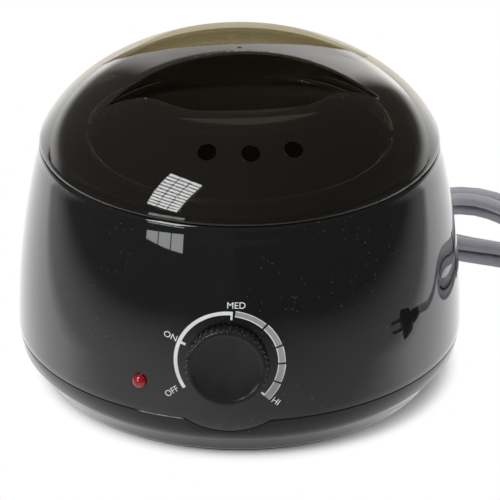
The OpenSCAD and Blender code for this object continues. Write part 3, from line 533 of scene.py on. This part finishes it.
def bright_metal(name, base, rough, scale=220):
    f = Finish(name)
    place = f.place()
    cloud = f.noise(scale, 3, 0.6, place).between(0.35, 0.7)
    scratch = f.noise(1400, 2, 0.5, place, (1, 1, 0.08))
    return f.surface(f.mix(cloud, base, tuple(c * 0.78 for c in base)),
                     rough + cloud * 0.1 + scratch * 0.06, f.bump(scratch, 0.00002, 0.3),
                     Metallic=1.0)


def heat_tinted():
    f = Finish("heater steel")
    place = f.place()
    cloud = f.noise(40, 3, 0.6, place)
    tint = f.node("ShaderNodeValToRGB", {"stops": ((0.3, (0.42, 0.40, 0.36)),
                                                   (0.55, (0.45, 0.36, 0.22)),
                                                   (0.75, (0.30, 0.27, 0.30)))}, cloud)
    return f.surface(tint, 0.3 + cloud * 0.15, f.bump(f.noise(900, 2, 0.5, place), 0.00003, 0.3),
                     Metallic=1.0)


def glass_fibre():
    """Woven sleeve: two sets of threads that cross."""
    f = Finish("glass fibre")
    place = f.place()
    x, y, z = f.apart(place)
    turn = f.node("ShaderNodeMath", {"operation": "ARCTAN2"}, y, x)
    over = (turn * 190).maths("SINE", turn * 190)
    along = (z * 2600).maths("SINE", z * 2600)
    weave = over * along * 0.5 + 0.5
    fuzz = f.noise(500, 3, 0.6, place)
    return f.surface(f.mix(weave * 0.6 + fuzz * 0.3, (0.60, 0.56, 0.46), (0.86, 0.83, 0.74)), 0.85,
                     f.bump(weave, 0.0002, 0.6))


def moulding(name, dark, light, rough):
    f = Finish(name)
    place = f.place()
    cloud = f.noise(70, 3, 0.6, place).between(0.35, 0.7)
    return f.surface(f.mix(cloud, dark, light), rough + cloud * 0.08,
                     f.bump(f.noise(1100, 2, 0.5, place), 0.00004, 0.4))


GLOSS, CASING, KNOB, LID = gloss_black(), casing_black(), knob_black(), smoked_lid()
LENS, PRINT, CORD = red_lens(), print_grey(), cord_jacket()
FOOT = rubber("foot rubber", (0.022, 0.022, 0.022), (0.045, 0.044, 0.043), 0.75)
RELIEF = rubber("relief rubber", (0.016, 0.016, 0.017), (0.03, 0.03, 0.031), 0.42)
TIE = rubber("tie plastic", (0.03, 0.03, 0.031), (0.055, 0.055, 0.056), 0.5, 500)
PLUG = moulding("plug plastic", (0.018, 0.018, 0.019), (0.03, 0.03, 0.031), 0.32)
CAN = spun_metal("can metal", (0.78, 0.78, 0.77), 0.16, lining=(0.0606, 0.0338, 0.1006))
POT = spun_metal("pot aluminium", (0.66, 0.67, 0.68), 0.26, 1100, (0.0629, 0.0315, 0.11), 0.0967)
WIRE = bright_metal("bail wire", (0.72, 0.73, 0.74), 0.12)
ZINC = bright_metal("zinc steel", (0.60, 0.61, 0.63), 0.28)
BRASS = bright_metal("brass parts", (0.72, 0.55, 0.25), 0.24)
PINS = bright_metal("pin metal", (0.80, 0.79, 0.76), 0.12)
HEATER, FIBRE = heat_tinted(), glass_fibre()
CREAM = moulding("cream insulator", (0.72, 0.69, 0.60), (0.82, 0.80, 0.72), 0.45)
BOARD = moulding("board green", (0.03, 0.16, 0.06), (0.06, 0.24, 0.09), 0.3)
JACKETS = {
    "wire_live": moulding("brown wire", (0.16, 0.05, 0.02), (0.22, 0.08, 0.03), 0.4),
    "wire_neutral": moulding("blue wire", (0.02, 0.06, 0.30), (0.03, 0.09, 0.40), 0.4),
    "wire_heater": moulding("red wire", (0.42, 0.03, 0.02), (0.55, 0.05, 0.03), 0.4),
    "wire_lamp": moulding("black wire", (0.02, 0.02, 0.02), (0.04, 0.04, 0.04), 0.4),
    "inlet_cores": moulding("core wire", (0.20, 0.07, 0.03), (0.30, 0.12, 0.05), 0.4),
    "inlet_lead": CORD,
}


# ------------------------------------------------------------------ housing
BODY_R, SHOULDER_R, WALL_SWELL = 92.5, 82.6, 9.6
SEAM_Z, SHOULDER_Z, DECK_Z, WALL = 20, 99.2, 97.5, 2.5
ROUND = 192
DIAL_Z, DIAL_TILT = 45.5, radians(6)


def wall_r(z):
    """The wall's outer radius at a height: a straight taper with a slight swell."""
    t = (z - SEAM_Z) / (SHOULDER_Z - SEAM_Z)
    return BODY_R + (SHOULDER_R - BODY_R) * t + WALL_SWELL * t * (1 - t)


def on_wall(turn, z):
    """The frame on the outside of the wall, its +Z pointing out of it."""
    return (Matrix.Rotation(radians(turn), 4, "Z") @ Matrix.Translation((0, -wall_r(z) * MM, z * MM))
            @ Matrix.Rotation(pi / 2 - DIAL_TILT, 4, "X"))


DIAL, LAMP = on_wall(0, DIAL_Z), on_wall(-22.7, 33.4)
FACING = Matrix.Translation((0, 0, DIAL_Z * MM)) @ Matrix.Rotation(pi / 2, 4, "X")


def rising(z0, z1, inset=0, n=26):
    """The wall's profile between two heights, moved in by the inset."""
    return [(wall_r(z0 + (z1 - z0) * i / n) - inset, z0 + (z1 - z0) * i / n) for i in range(n + 1)]


def make_housing():
    """The glossy shell: wall, rounded rim, deck, and the round tab under the dial."""
    rim = [(80.3 + 2.3 * cos(radians(a)), SHOULDER_Z + 2.3 * sin(radians(a))) for a in range(9, 91, 9)]
    one = turned("housing_shell", [(90.2, 12.5), (90.9, 12.5)] + rising(SEAM_Z, SHOULDER_Z) + rim + [
        (79.5, 101.5), (79.2, 101.2), (79.2, 98.1), (78.6, DECK_Z), (65.0, DECK_Z), (64.6, 97.1), (64.6, 95),
        (wall_r(95) - WALL, 95)] + rising(92, 22, WALL, 12) + [(90.2, 12.5)], ROUND)
    below = rod("below", 120, 0, 20.2, 96)
    carve(below, settle(rod("tab", 30.5, 0, 130, 128), FACING))
    carve(one, below)
    carve(one, settle(rod("land", 14.5, -1.3, 8, 64), DIAL))
    carve(one, settle(rod("bush", 4.7, -12, 8, 48), DIAL))
    carve(one, settle(rod("lens_hole", 2.96, -12, 8, 48), LAMP))
    modify(one, "BEVEL", width=0.22 * MM, segments=2, limit_method="ANGLE", angle_limit=radians(50))
    return smooth(one, 40)


def make_casing():
    """The lower casing: a foot band, an undercut edge, and the notch that takes the tab."""
    one = turned("casing_shell", [
        (0, 0.8), (80.6, 0.8), (81.5, 1.05), (82.05, 1.7), (85.4, 8.1), (85.7, 8.3), (86.7, 8.3), (87.15, 8.45),
        (87.5, 8.85), (91, 13), (92.2, 18.6), (92.35, 19.5), (92.1, 19.8), (89.3, 19.8), (89.3, 24), (87.3, 24),
        (87.3, 14), (84.7, 10.8), (83, 10.8), (79.5, 3.3), (0, 3.3)], ROUND)
    notch = turned("notch", [(89.9, 10), (97, 10), (97, 21), (89.9, 21), (89.9, 10)], ROUND)
    carve(notch, settle(rod("round", 30.9, 0, 130, 128), FACING), "INTERSECT")
    carve(one, notch)
    slots = block("slot", (22, -1.5, -1), (38, 1.5, 9))
    carve(one, copies(slots, [Matrix.Rotation(radians(15 + 30 * i), 4, "Z") for i in range(12)]))
    seats = rod("seat", 7.15, -0.5, 1.6, 48)
    carve(one, copies(seats, [Matrix.Rotation(radians(a), 4, "Z") @ Matrix.Translation((0.066, 0, 0))
                              for a in (30, 150, 210, 330)]))
    wells = rod("well", 3.3, -1, 3.4, 40)
    carve(one, copies(wells, [Matrix.Rotation(radians(a), 4, "Z") @ Matrix.Translation((0.075, 0, 0))
                              for a in (45, 135, 225, 315)]))
    side = Matrix.Translation((0, 0, OUTLET_Z * MM)) @ Matrix.Rotation(-pi / 2, 4, "X")
    carve(one, settle(rod("outlet", 4.4, 77, 110, 48), side))
    modify(one, "BEVEL", width=0.2 * MM, segments=2, limit_method="ANGLE", angle_limit=radians(55))
    return smooth(one, 40)


piece(make_housing(), "base", "gloss_black", GLOSS, "housing")
piece(make_casing(), "base", "casing_black", CASING, "lower_casing")


# ------------------------------------------------------------------ lid
DOME_A, DOME_BASE, LID_TOP = 86.0, 103.0, 142.3
DOME_B = (LID_TOP - DOME_BASE) / (1 - sqrt(1 - (82.3 / DOME_A) ** 2))
DOME_Z = LID_TOP - DOME_B
RECESS_Z, LID_WALL = 127.3, 2.4
VENT_RING, VENT_STEP = 63.2, 15.8
LID_TURN = Matrix.Rotation(radians(7), 4, "Z")


def dome_line(inset, n=44):
    """The dome's profile from its foot to its top, moved in by the inset."""
    start = asin((DOME_BASE - DOME_Z) / (DOME_B - inset))
    turns = [start + (pi / 2 - start) * i / n for i in range(n + 1)]
    return [((DOME_A - inset) * cos(a), DOME_Z + (DOME_B - inset) * sin(a)) for a in turns]


def recess_outline(grow):
    """A finger recess from above: the far lip flares to two tips on the bridge's curved edge."""
    r, x1, x2, n = 46 + grow, 34, 55.5 + 1.4 * grow, 16
    y1 = -sqrt(r * r - x1 * x1)
    edge_y, edge_r = -(3.7 + 98), 98 + grow
    y2 = edge_y + sqrt(edge_r ** 2 - x2 ** 2)
    s = -x1 / y1
    mid_x = (y2 - 0.15 * x2 - y1 + s * x1) / (s - 0.15)
    mid_y = y1 + s * (mid_x - x1)
    lip = [(r * cos(a), r * sin(a)) for a in (radians(-90) + asin(x1 / r) * i / n for i in range(n + 1))]
    flare = [((1 - t) ** 2 * x1 + 2 * t * (1 - t) * mid_x + t * t * x2,
              (1 - t) ** 2 * y1 + 2 * t * (1 - t) * mid_y + t * t * y2)
             for t in (i / (n - 2) for i in range(1, n - 1))]
    edge = [(x, edge_y + sqrt(edge_r ** 2 - x * x)) for x in (x2 * (1 - i / n) for i in range(1, 2 * n))]
    right = lip + flare
    return right + edge + [(-x, y) for x, y in right[:0:-1]]


def recesses(grow, low):
    one = prism("recess", recess_outline(grow), low, 160)
    return copies(one, [Matrix.Identity(4), Matrix.Rotation(pi, 4, "Z")])


def make_lid():
    """The smoked dome: two finger recesses that leave a grip bridge, and three vents."""
    one = turned("lid_dome", [(76.6, 98.2), (78.6, 98.2), (78.6, 101.8), (81.7, 101.8), (82.15, 101.95),
                              (82.3, 102.4)] + dome_line(0) + [(0, 110), (76.6, 98.2)], ROUND)
    hollow = turned("hollow", [(0, 60), (76.6, 60), (76.6, 104.3), (79.4, 104.35)]
                    + [p for p in dome_line(LID_WALL) if p[0] < 79.4], ROUND)
    carve(one, recesses(0, RECESS_Z))
    carve(hollow, recesses(LID_WALL, RECESS_Z - LID_WALL))
    carve(one, hollow)
    rise = DOME_B * sqrt(1 - (VENT_RING / DOME_A) ** 2)
    slope, height = (DOME_B / DOME_A) ** 2 * VENT_RING / rise, DOME_Z + rise
    vent = rod("vent", 3.75, -10, 10, 48)
    carve(one, copies(vent, [Matrix.Rotation(radians(VENT_STEP * k), 4, "Z")
                             @ Matrix.Translation((0, -VENT_RING * MM, height * MM))
                             @ Matrix.Rotation(atan(slope), 4, "X") for k in (-1, 0, 1)]))
    carve(one, rod("gate", 0.8, 141.7, 145, 24))
    modify(one, "BEVEL", width=0.3 * MM, segments=2, limit_method="ANGLE", angle_limit=radians(50))
    settle(one, LID_TURN)
    return smooth(one, 40)


piece(make_lid(), "lid", "smoked_lid", LID, "lid")


# ------------------------------------------------------------------ knob, lens and print
FLUTES, KNOB_H, KNOB_LEAN, KNOB_GAP = 42, 5.7, 0.5, 0.6


def make_knob():
    """A low tapered knob with fluted sides and a shallow dish in its face."""
    one = turned("dial_knob", [
        (0, 1.3), (5.4, 1.3), (5.4, 3.7), (14.5, 3.7), (14.5, 0), (16.6, 0), (16.88, 0.28),
        (16.84, 0.9), (16.62, 3.3), (16.44, 4.6), (16.3, 5.05), (16.0, 5.42), (15.6, 5.62), (15.0, KNOB_H),
        (14.3, 5.68), (13.85, 5.5), (13.6, 5.28), (13.3, 5.2), (0, 5.2)], 252)
    flute = rod("flute", 1, -2, 9.5, 20)
    lean = atan(KNOB_LEAN / KNOB_H)
    carve(one, copies(flute, [
        Matrix.Rotation(radians(360 / FLUTES * (i + 0.5)), 4, "Z") @ Matrix.Translation((0.0173, 0, 0))
        @ Matrix.Rotation(-lean, 4, "Y") for i in range(FLUTES)]))
    modify(one, "BEVEL", width=0.14 * MM, segments=2, limit_method="ANGLE", angle_limit=radians(35))
    settle(one, DIAL @ Matrix.Translation((0, 0, KNOB_GAP * MM)))
    return smooth(one, 45)


def make_lens():
    dome = [(2.9 * cos(radians(a)), 0.5 + 2.1 * sin(radians(a))) for a in range(8, 91, 6)]
    one = turned("indicator_dome", [(0, -4.1), (3.8, -4.1), (3.8, -3.1), (2.9, -3.1), (2.9, 0.5)] + dome, 64)
    return smooth(settle(one, LAMP), 50)


piece(make_knob(), "knob", "knob_black", KNOB, "control_knob")
piece(make_lens(), "base", "red_lens", LENS, "indicator_lens")


def lay_on_wall(one, lift=0.04):
    """Presses a flat mesh, drawn in the plane of x and z, on to the wall under the dial."""
    for point in one.data.vertices:
        x, z = point.co.x / MM, point.co.z / MM
        r = wall_r(z) if z > SEAM_Z else BODY_R - 1.5 * (SEAM_Z - z) / 7
        point.co.y = -(sqrt(r * r - x * x) + lift) * MM
    return one


def arc_band(name, start, stop, width, radius):
    """Part of a ring round the dial, from one angle to another, clockwise from the top."""
    at = radians(start)
    one = first_point(name, ((radius - width / 2) * sin(at) * MM, 0, (radius - width / 2) * cos(at) * MM))
    for _ in range(3):
        bpy.ops.mesh.extrude_vertices_move(TRANSFORM_OT_translate={
            "value": (width / 3 * sin(at) * MM, 0, width / 3 * cos(at) * MM)})
    bpy.ops.mesh.select_all(action="SELECT")
    bpy.ops.mesh.spin(steps=max(3, int((stop - start) / 2.5)), angle=radians(stop - start),
                      center=(0, 0, 0), axis=(0, -1, 0))
    return tidy_mesh(one)


def word(letters, x, z, turn, height):
    """A word on the plane of x and z, its capitals as tall as height."""
    rest()
    bpy.ops.object.text_add(location=(0, 0, 0))
    one = bpy.context.object
    one.data.body = letters
    one.data.size = height / 0.69 * MM
    one.data.align_x, one.data.align_y = "CENTER", "CENTER"
    bpy.ops.object.convert(target="MESH")
    one = bpy.context.object
    settle(one, Matrix.Translation((x * MM, 0, z * MM)) @ Matrix.Rotation(radians(turn), 4, "Y")
           @ Matrix.Rotation(pi / 2, 4, "X"))
    return one


def make_print():
    """The dial's ring, which widens towards high, its three ticks and its four words."""
    parts = []
    bands = ((-124, 4.6, 20.4, 21.9), (7.4, 42.4, 19.8, 22.3), (44.6, 70.7, 19.8, 22.5),
             (72.8, 91, 19.8, 22.7), (93, 112.9, 19.8, 22.9), (114.9, 135, 19.8, 23.1))
    for start, stop, inner, outer in bands:
        parts.append(arc_band("arc", start, stop, outer - inner, (outer + inner) / 2))
    for angle, half in ((-68, 1.6), (3.6, 1.2), (134, 1.2)):
        parts.append(arc_band("tick", angle - half, angle + half, 2.2, 19.5))
    for part in parts:
        settle(part, Matrix.Translation((PRINT_X, 0, PRINT_Z)))
    parts += [word("ON", -22.9, 55.2, 20, 2.5), word("OFF", -22.4, 31.3, -38, 2.5),
              word("MED", 3.3, 69.9, 0, 2.6), word("HI", 19.2, 28.4, 36, 2.5)]
    one = take(*parts)
    bpy.ops.object.join()
    one.name = "dial_print"
    edit(one)
    bpy.ops.mesh.select_all(action="SELECT")
    bpy.ops.mesh.normals_make_consistent(inside=False)
    rest()
    return lay_on_wall(one)


piece(make_print(), "base", "gloss_black", PRINT)


# ------------------------------------------------------------------ cord pieces
def make_relief():
    """The moulded sleeve: a collar at the casing and a tail of rings that droops to the table."""
    slope = atan((OUTLET_Z - EXIT_Z) / (RELIEF_Y - RELIEF_START))
    length = (RELIEF_Y - RELIEF_START) / cos(slope)
    collar = turned("cord_sleeve", [(0, -11.5), (5.9, -11.5), (5.9, -9.7), (4.3, -9.5), (4.3, 1.8), (5.9, 1.8),
                                    (6.2, 2.1), (6.2, 3.5), (5.9, 3.8), (0, 3.8)], 64)
    settle(collar, Matrix.Translation((0, 0.091107, OUTLET_Z * MM)) @ Matrix.Rotation(-pi / 2, 4, "X"))
    rings = [(0, -0.5)]
    for i in range(6):
        t = i / 6
        r, z, step = 5.4 - 1.4 * t, length * t, length / 6
        rings += [(r - 0.3, z + 0.2), (r, z + 0.6), (r, z + step * 0.52), (r - 0.3, z + step * 0.62),
                  (r - 0.85, z + step * 0.68), (r - 0.9, z + step * 0.95)]
    tail = turned("tail", rings + [(3.2, length), (0, length)], 64)
    settle(tail, Matrix.Translation((0, RELIEF_START * MM, OUTLET_Z * MM))
           @ Matrix.Rotation(-pi / 2 - slope, 4, "X"))
    carve(collar, tail, "UNION")
    return smooth(collar, 40)


def make_tie():
    """A flat closed strap round the hank's waist, snug on its strands."""
    right = HANK_R + HANK_SPREAD * (HANK_MID - 0.15) - HANK_WAIST + CORD_R + 0.3
    left = HANK_R + HANK_SPREAD * (HANK_MID - 0.65) - HANK_WAIST + CORD_R + 0.3
    high = HANK_Z + HANK_LAYER + 0.6 + CORD_R + 0.3
    top_r, foot_r, foot_z, thick = 4.2, 1.2, 1.82, 0.6
    ring = []
    for cx, cz, start in ((right - top_r, high - top_r, 0), (-left + top_r, high - top_r, 90),
                          (-left + foot_r, foot_z, 180), (right - foot_r, foot_z, 270)):
        r = (top_r if cz > 3 else foot_r) + thick
        ring += [(cx + r * cos(radians(start + a)), cz + r * sin(radians(start + a))) for a in range(0, 91, 15)]
    one = prism("hank_strap", ring, -2, 2)
    edit(one, "FACE")
    pick(one, lambda face: abs(face.normal.z) > 0.9)
    bpy.ops.mesh.delete(type="FACE")
    rest()
    modify(one, "SOLIDIFY", thickness=0.58 * MM, offset=-1)
    modify(one, "BEVEL", width=0.15 * MM, segments=2, limit_method="ANGLE", angle_limit=radians(60))
    settle(one, Matrix.Translation((HANK_AT[0] * MM, HANK_AT[1] * MM, 0)) @ Matrix.Rotation(HANK_TURN, 4, "Z")
           @ Matrix.Rotation(pi / 2, 4, "Z") @ Matrix.Rotation(pi / 2, 4, "X"))
    return smooth(one, 40)


PLUG_AT = Matrix.Translation(((HANK_AT[0] + 51.2) * MM, (HANK_AT[1] - 110) * MM, 0.007)) @ Matrix.Rotation(
    radians(-9), 4, "Z") @ Matrix.Rotation(pi / 2, 4, "X")


def make_plug():
    """The moulded plug: a ribbed neck that flows into a flat grip with finger ridges."""
    rest()
    bpy.ops.mesh.primitive_cube_add(size=1, location=(0, 0, 24.6 * MM))
    one = bpy.context.object
    one.name = "plug_moulding"
    one.scale = (35 * MM, 13.2 * MM, 20.6 * MM)
    settle(one)
    edit(one, "FACE")
    pick(one, lambda face: face.normal.z < -0.9)
    bpy.ops.transform.resize(value=(0.62, 0.8, 1))
    rest()
    modify(one, "BEVEL", width=4.6 * MM, segments=6, limit_method="ANGLE", angle_limit=radians(40))
    neck = [(0, -0.2), (3.3, -0.2)]
    for i in range(5):
        z, r = 3 * i, 3.5 + 0.35 * i
        neck += [(r, z + 0.2), (r + 0.25, z + 0.5), (r + 0.25, z + 1.7), (r, z + 2), (r - 0.45, z + 2.2),
                 (r - 0.45, z + 2.8)]
    carve(one, turned("neck", neck + [(5, 15.4), (5, 20), (0, 20)], 48), "UNION")
    for side in (-1, 1):
        ridge = rod("ridge", 0.55, -5, 5, 16)
        places = [Matrix.Translation((side * 17.3 * MM, 0, z * MM)) @ Matrix.Rotation(pi / 2, 4, "X")
                  for z in (20, 23, 26, 29)]
        carve(one, copies(ridge, places))
    settle(one, PLUG_AT)
    return smooth(one, 40)


def make_pins():
    one = turned("plug_contacts", [(0, 29.2), (2, 29.2), (2, 35.2), (2, 52), (1.85, 52.8), (1.4, 53.5),
                                   (0.7, 53.9), (0, 54)], 32)
    one = copies(one, [Matrix.Translation((side * 9.3 * MM, 0, 0)) for side in (-1, 1)])
    return smooth(settle(one, PLUG_AT), 40)


relief = piece(make_relief(), "base", "relief_rubber", RELIEF, "strain_relief")
tie = piece(make_tie(), "base", "tie_plastic", TIE, "cord_tie")
plug = piece(make_plug(), "base", "plug_plastic", PLUG, "plug_body")
pins = piece(make_pins(), "base", "pin_metal", PINS, "plug_pins")
piece(lead, "base", "cord_jacket", CORD, "mains_cord")


# ------------------------------------------------------------------ what stays from the frame
for name, finish in {
    "rubber_feet": FOOT, "casing_screws": ZINC, "wax_can": CAN, "can_ears": CAN, "ear_rivets": ZINC,
    "bail_handle": WIRE, "heating_pot": POT, "heater_band": HEATER, "band_screw": ZINC,
    "insulation_sleeve": FIBRE, "pot_bracket": ZINC, "bracket_screws": ZINC, "pot_washer": ZINC,
    "pot_nut": ZINC, "thermal_fuse": HEATER, "fuse_clip": ZINC, "thermostat_body": CREAM,
    "thermostat_nut": BRASS, "thermostat_shaft": ZINC, "knob_spring": ZINC, "indicator_board": BOARD,
    "terminal_block": CREAM, "terminal_screws": BRASS, "cord_clamp": CASING, "clamp_screws": ZINC, **JACKETS,
}.items():
    nodes[name].data.materials.clear()
    nodes[name].data.materials.append(finish)


# ------------------------------------------------------------------ floor, room and lamps
def floor():
    """Paper with the shadow near the object, plain white further off, and graded in the gloss."""
    rest()
    bpy.ops.mesh.primitive_plane_add(size=12, location=(0, 0, 0))
    one = bpy.context.object
    one.name = "floor"
    f = Finish("pale floor")
    x, y, z = f.apart(f.place())
    side = (x * x + 0.0001) ** 0.5
    near = y + 0.02 - (side - 0.15).most(0)
    shade = near.between(-0.40, -0.06, 0.10, 0.62) * x.between(-0.1, 0.1, 1.0, 0.55)
    glare = (shade + near.between(-0.09, 0.01, 0, 0.9)) * x.between(-0.12, -0.02, 0.87, 1.0)
    rays = f.node("ShaderNodeLightPath", {}).socket.node.outputs
    seen, mirrored = Value(f, rays["Is Camera Ray"]), Value(f, rays["Is Glossy Ray"])
    paper = f.node("ShaderNodeBsdfDiffuse", {}, (0.92, 0.92, 0.92))
    white = f.node("ShaderNodeEmission", {}, (1, 1, 1), 1.0)
    mirror = f.node("ShaderNodeEmission", {}, f.mix(glare, (0, 0, 0), (1, 1, 1)), 1.0)
    far = seen * ((x - 0.003) * (x - 0.003) + (y + 0.001) * (y + 0.001)).between(0.0062, 0.0082)
    plain = f.node("ShaderNodeMixShader", {}, far, paper, white)
    one.data.materials.append(f.end(f.node("ShaderNodeMixShader", {}, mirrored, plain, mirror)))


def room():
    """White to the camera; to the object, bright behind and at the sides, dark in front and above."""
    world = bpy.data.worlds.new("room")
    bpy.context.scene.world = world
    world.use_nodes = True
    f = Finish("room", world.node_tree)
    x, y, z = f.apart(f.node("ShaderNodeTexCoord", {}, out="Generated"))
    level = (x * x + y * y) ** 0.5
    panel = (x * x).between(0.16, 0.07) * y.between(0.3, 0.5) * (z / level).between(0.52, 0.47)
    band = y.between(0.3, 0.6) * z.between(0.16, 0.02)
    above = x.between(-0.8, 0.8, 0.12, 0.07)
    light = above + panel * x.between(-0.3, 0.3, 0.8, 1.3) + band * 1.1
    rays = f.node("ShaderNodeLightPath", {}).socket.node.outputs
    seen = Value(f, rays["Is Camera Ray"]).most(Value(f, rays["Is Transmission Ray"]))
    back = f.node("ShaderNodeBackground", {}, (1, 1, 1), light * (1 - seen) + seen)
    output = f.tree.nodes.new("ShaderNodeOutputWorld")
    f.tree.links.new(back.socket, output.inputs[0])


def lamp(name, place, at, size, power):
    """A soft area lamp, seen neither by the camera nor in the gloss."""
    data = bpy.data.lights.new(name, "AREA")
    data.shape, data.size, data.size_y, data.energy = "RECTANGLE", size[0], size[1], power
    one = bpy.data.objects.new(name, data)
    bpy.context.scene.collection.objects.link(one)
    one.location = place
    one.rotation_euler = (Vector(at) - Vector(place)).to_track_quat("-Z", "Y").to_euler()
    one.visible_camera = one.visible_glossy = False


def window(name, place, at, size, panes, gap, power):
    """A gridded softbox at the front left, seen only in the gloss."""
    rest()
    bpy.ops.mesh.primitive_grid_add(x_subdivisions=panes[0], y_subdivisions=panes[1], size=1)
    one = bpy.context.object
    one.name = name
    edit(one, "FACE")
    bpy.ops.mesh.select_all(action="SELECT")
    bpy.ops.mesh.inset(use_individual=True, thickness=gap, use_even_offset=False)
    bpy.ops.mesh.select_all(action="INVERT")
    bpy.ops.mesh.delete(type="FACE")
    rest()
    turn = (Vector(at) - Vector(place)).to_track_quat("-Z", "Y").to_matrix().to_4x4()
    settle(one, Matrix.Translation(place) @ turn @ Matrix.Diagonal((*size, 1, 1)))
    f = Finish(name)
    one.data.materials.append(f.end(f.node("ShaderNodeEmission", {}, (0.95, 0.98, 1.0), power)))
    one.visible_camera = one.visible_diffuse = one.visible_shadow = one.visible_transmission = False


floor()
room()
window("softbox", (-1.08, -1.17, 1.56), (-0.03, -0.05, 0.11), (0.68, 1.12), (3, 11), 0.018, 9.0)
window("low_softbox", (-0.55, -0.77, 0.178), (-0.03, -0.08, 0.178), (0.34, 0.28), (3, 4), 0.018, 3.0)
lamp("key", (-0.9, -1.1, 1.6), (0, 0, 0.05), (0.8, 0.8), 24)
lamp("fill", (1.1, -0.8, 1.3), (0, 0, 0.05), (0.9, 0.9), 14)
lamp("top", (0.1, 0.3, 1.7), (0, 0, 0.05), (1.0, 1.0), 12)

bpy.context.scene.view_settings.view_transform = "Standard"
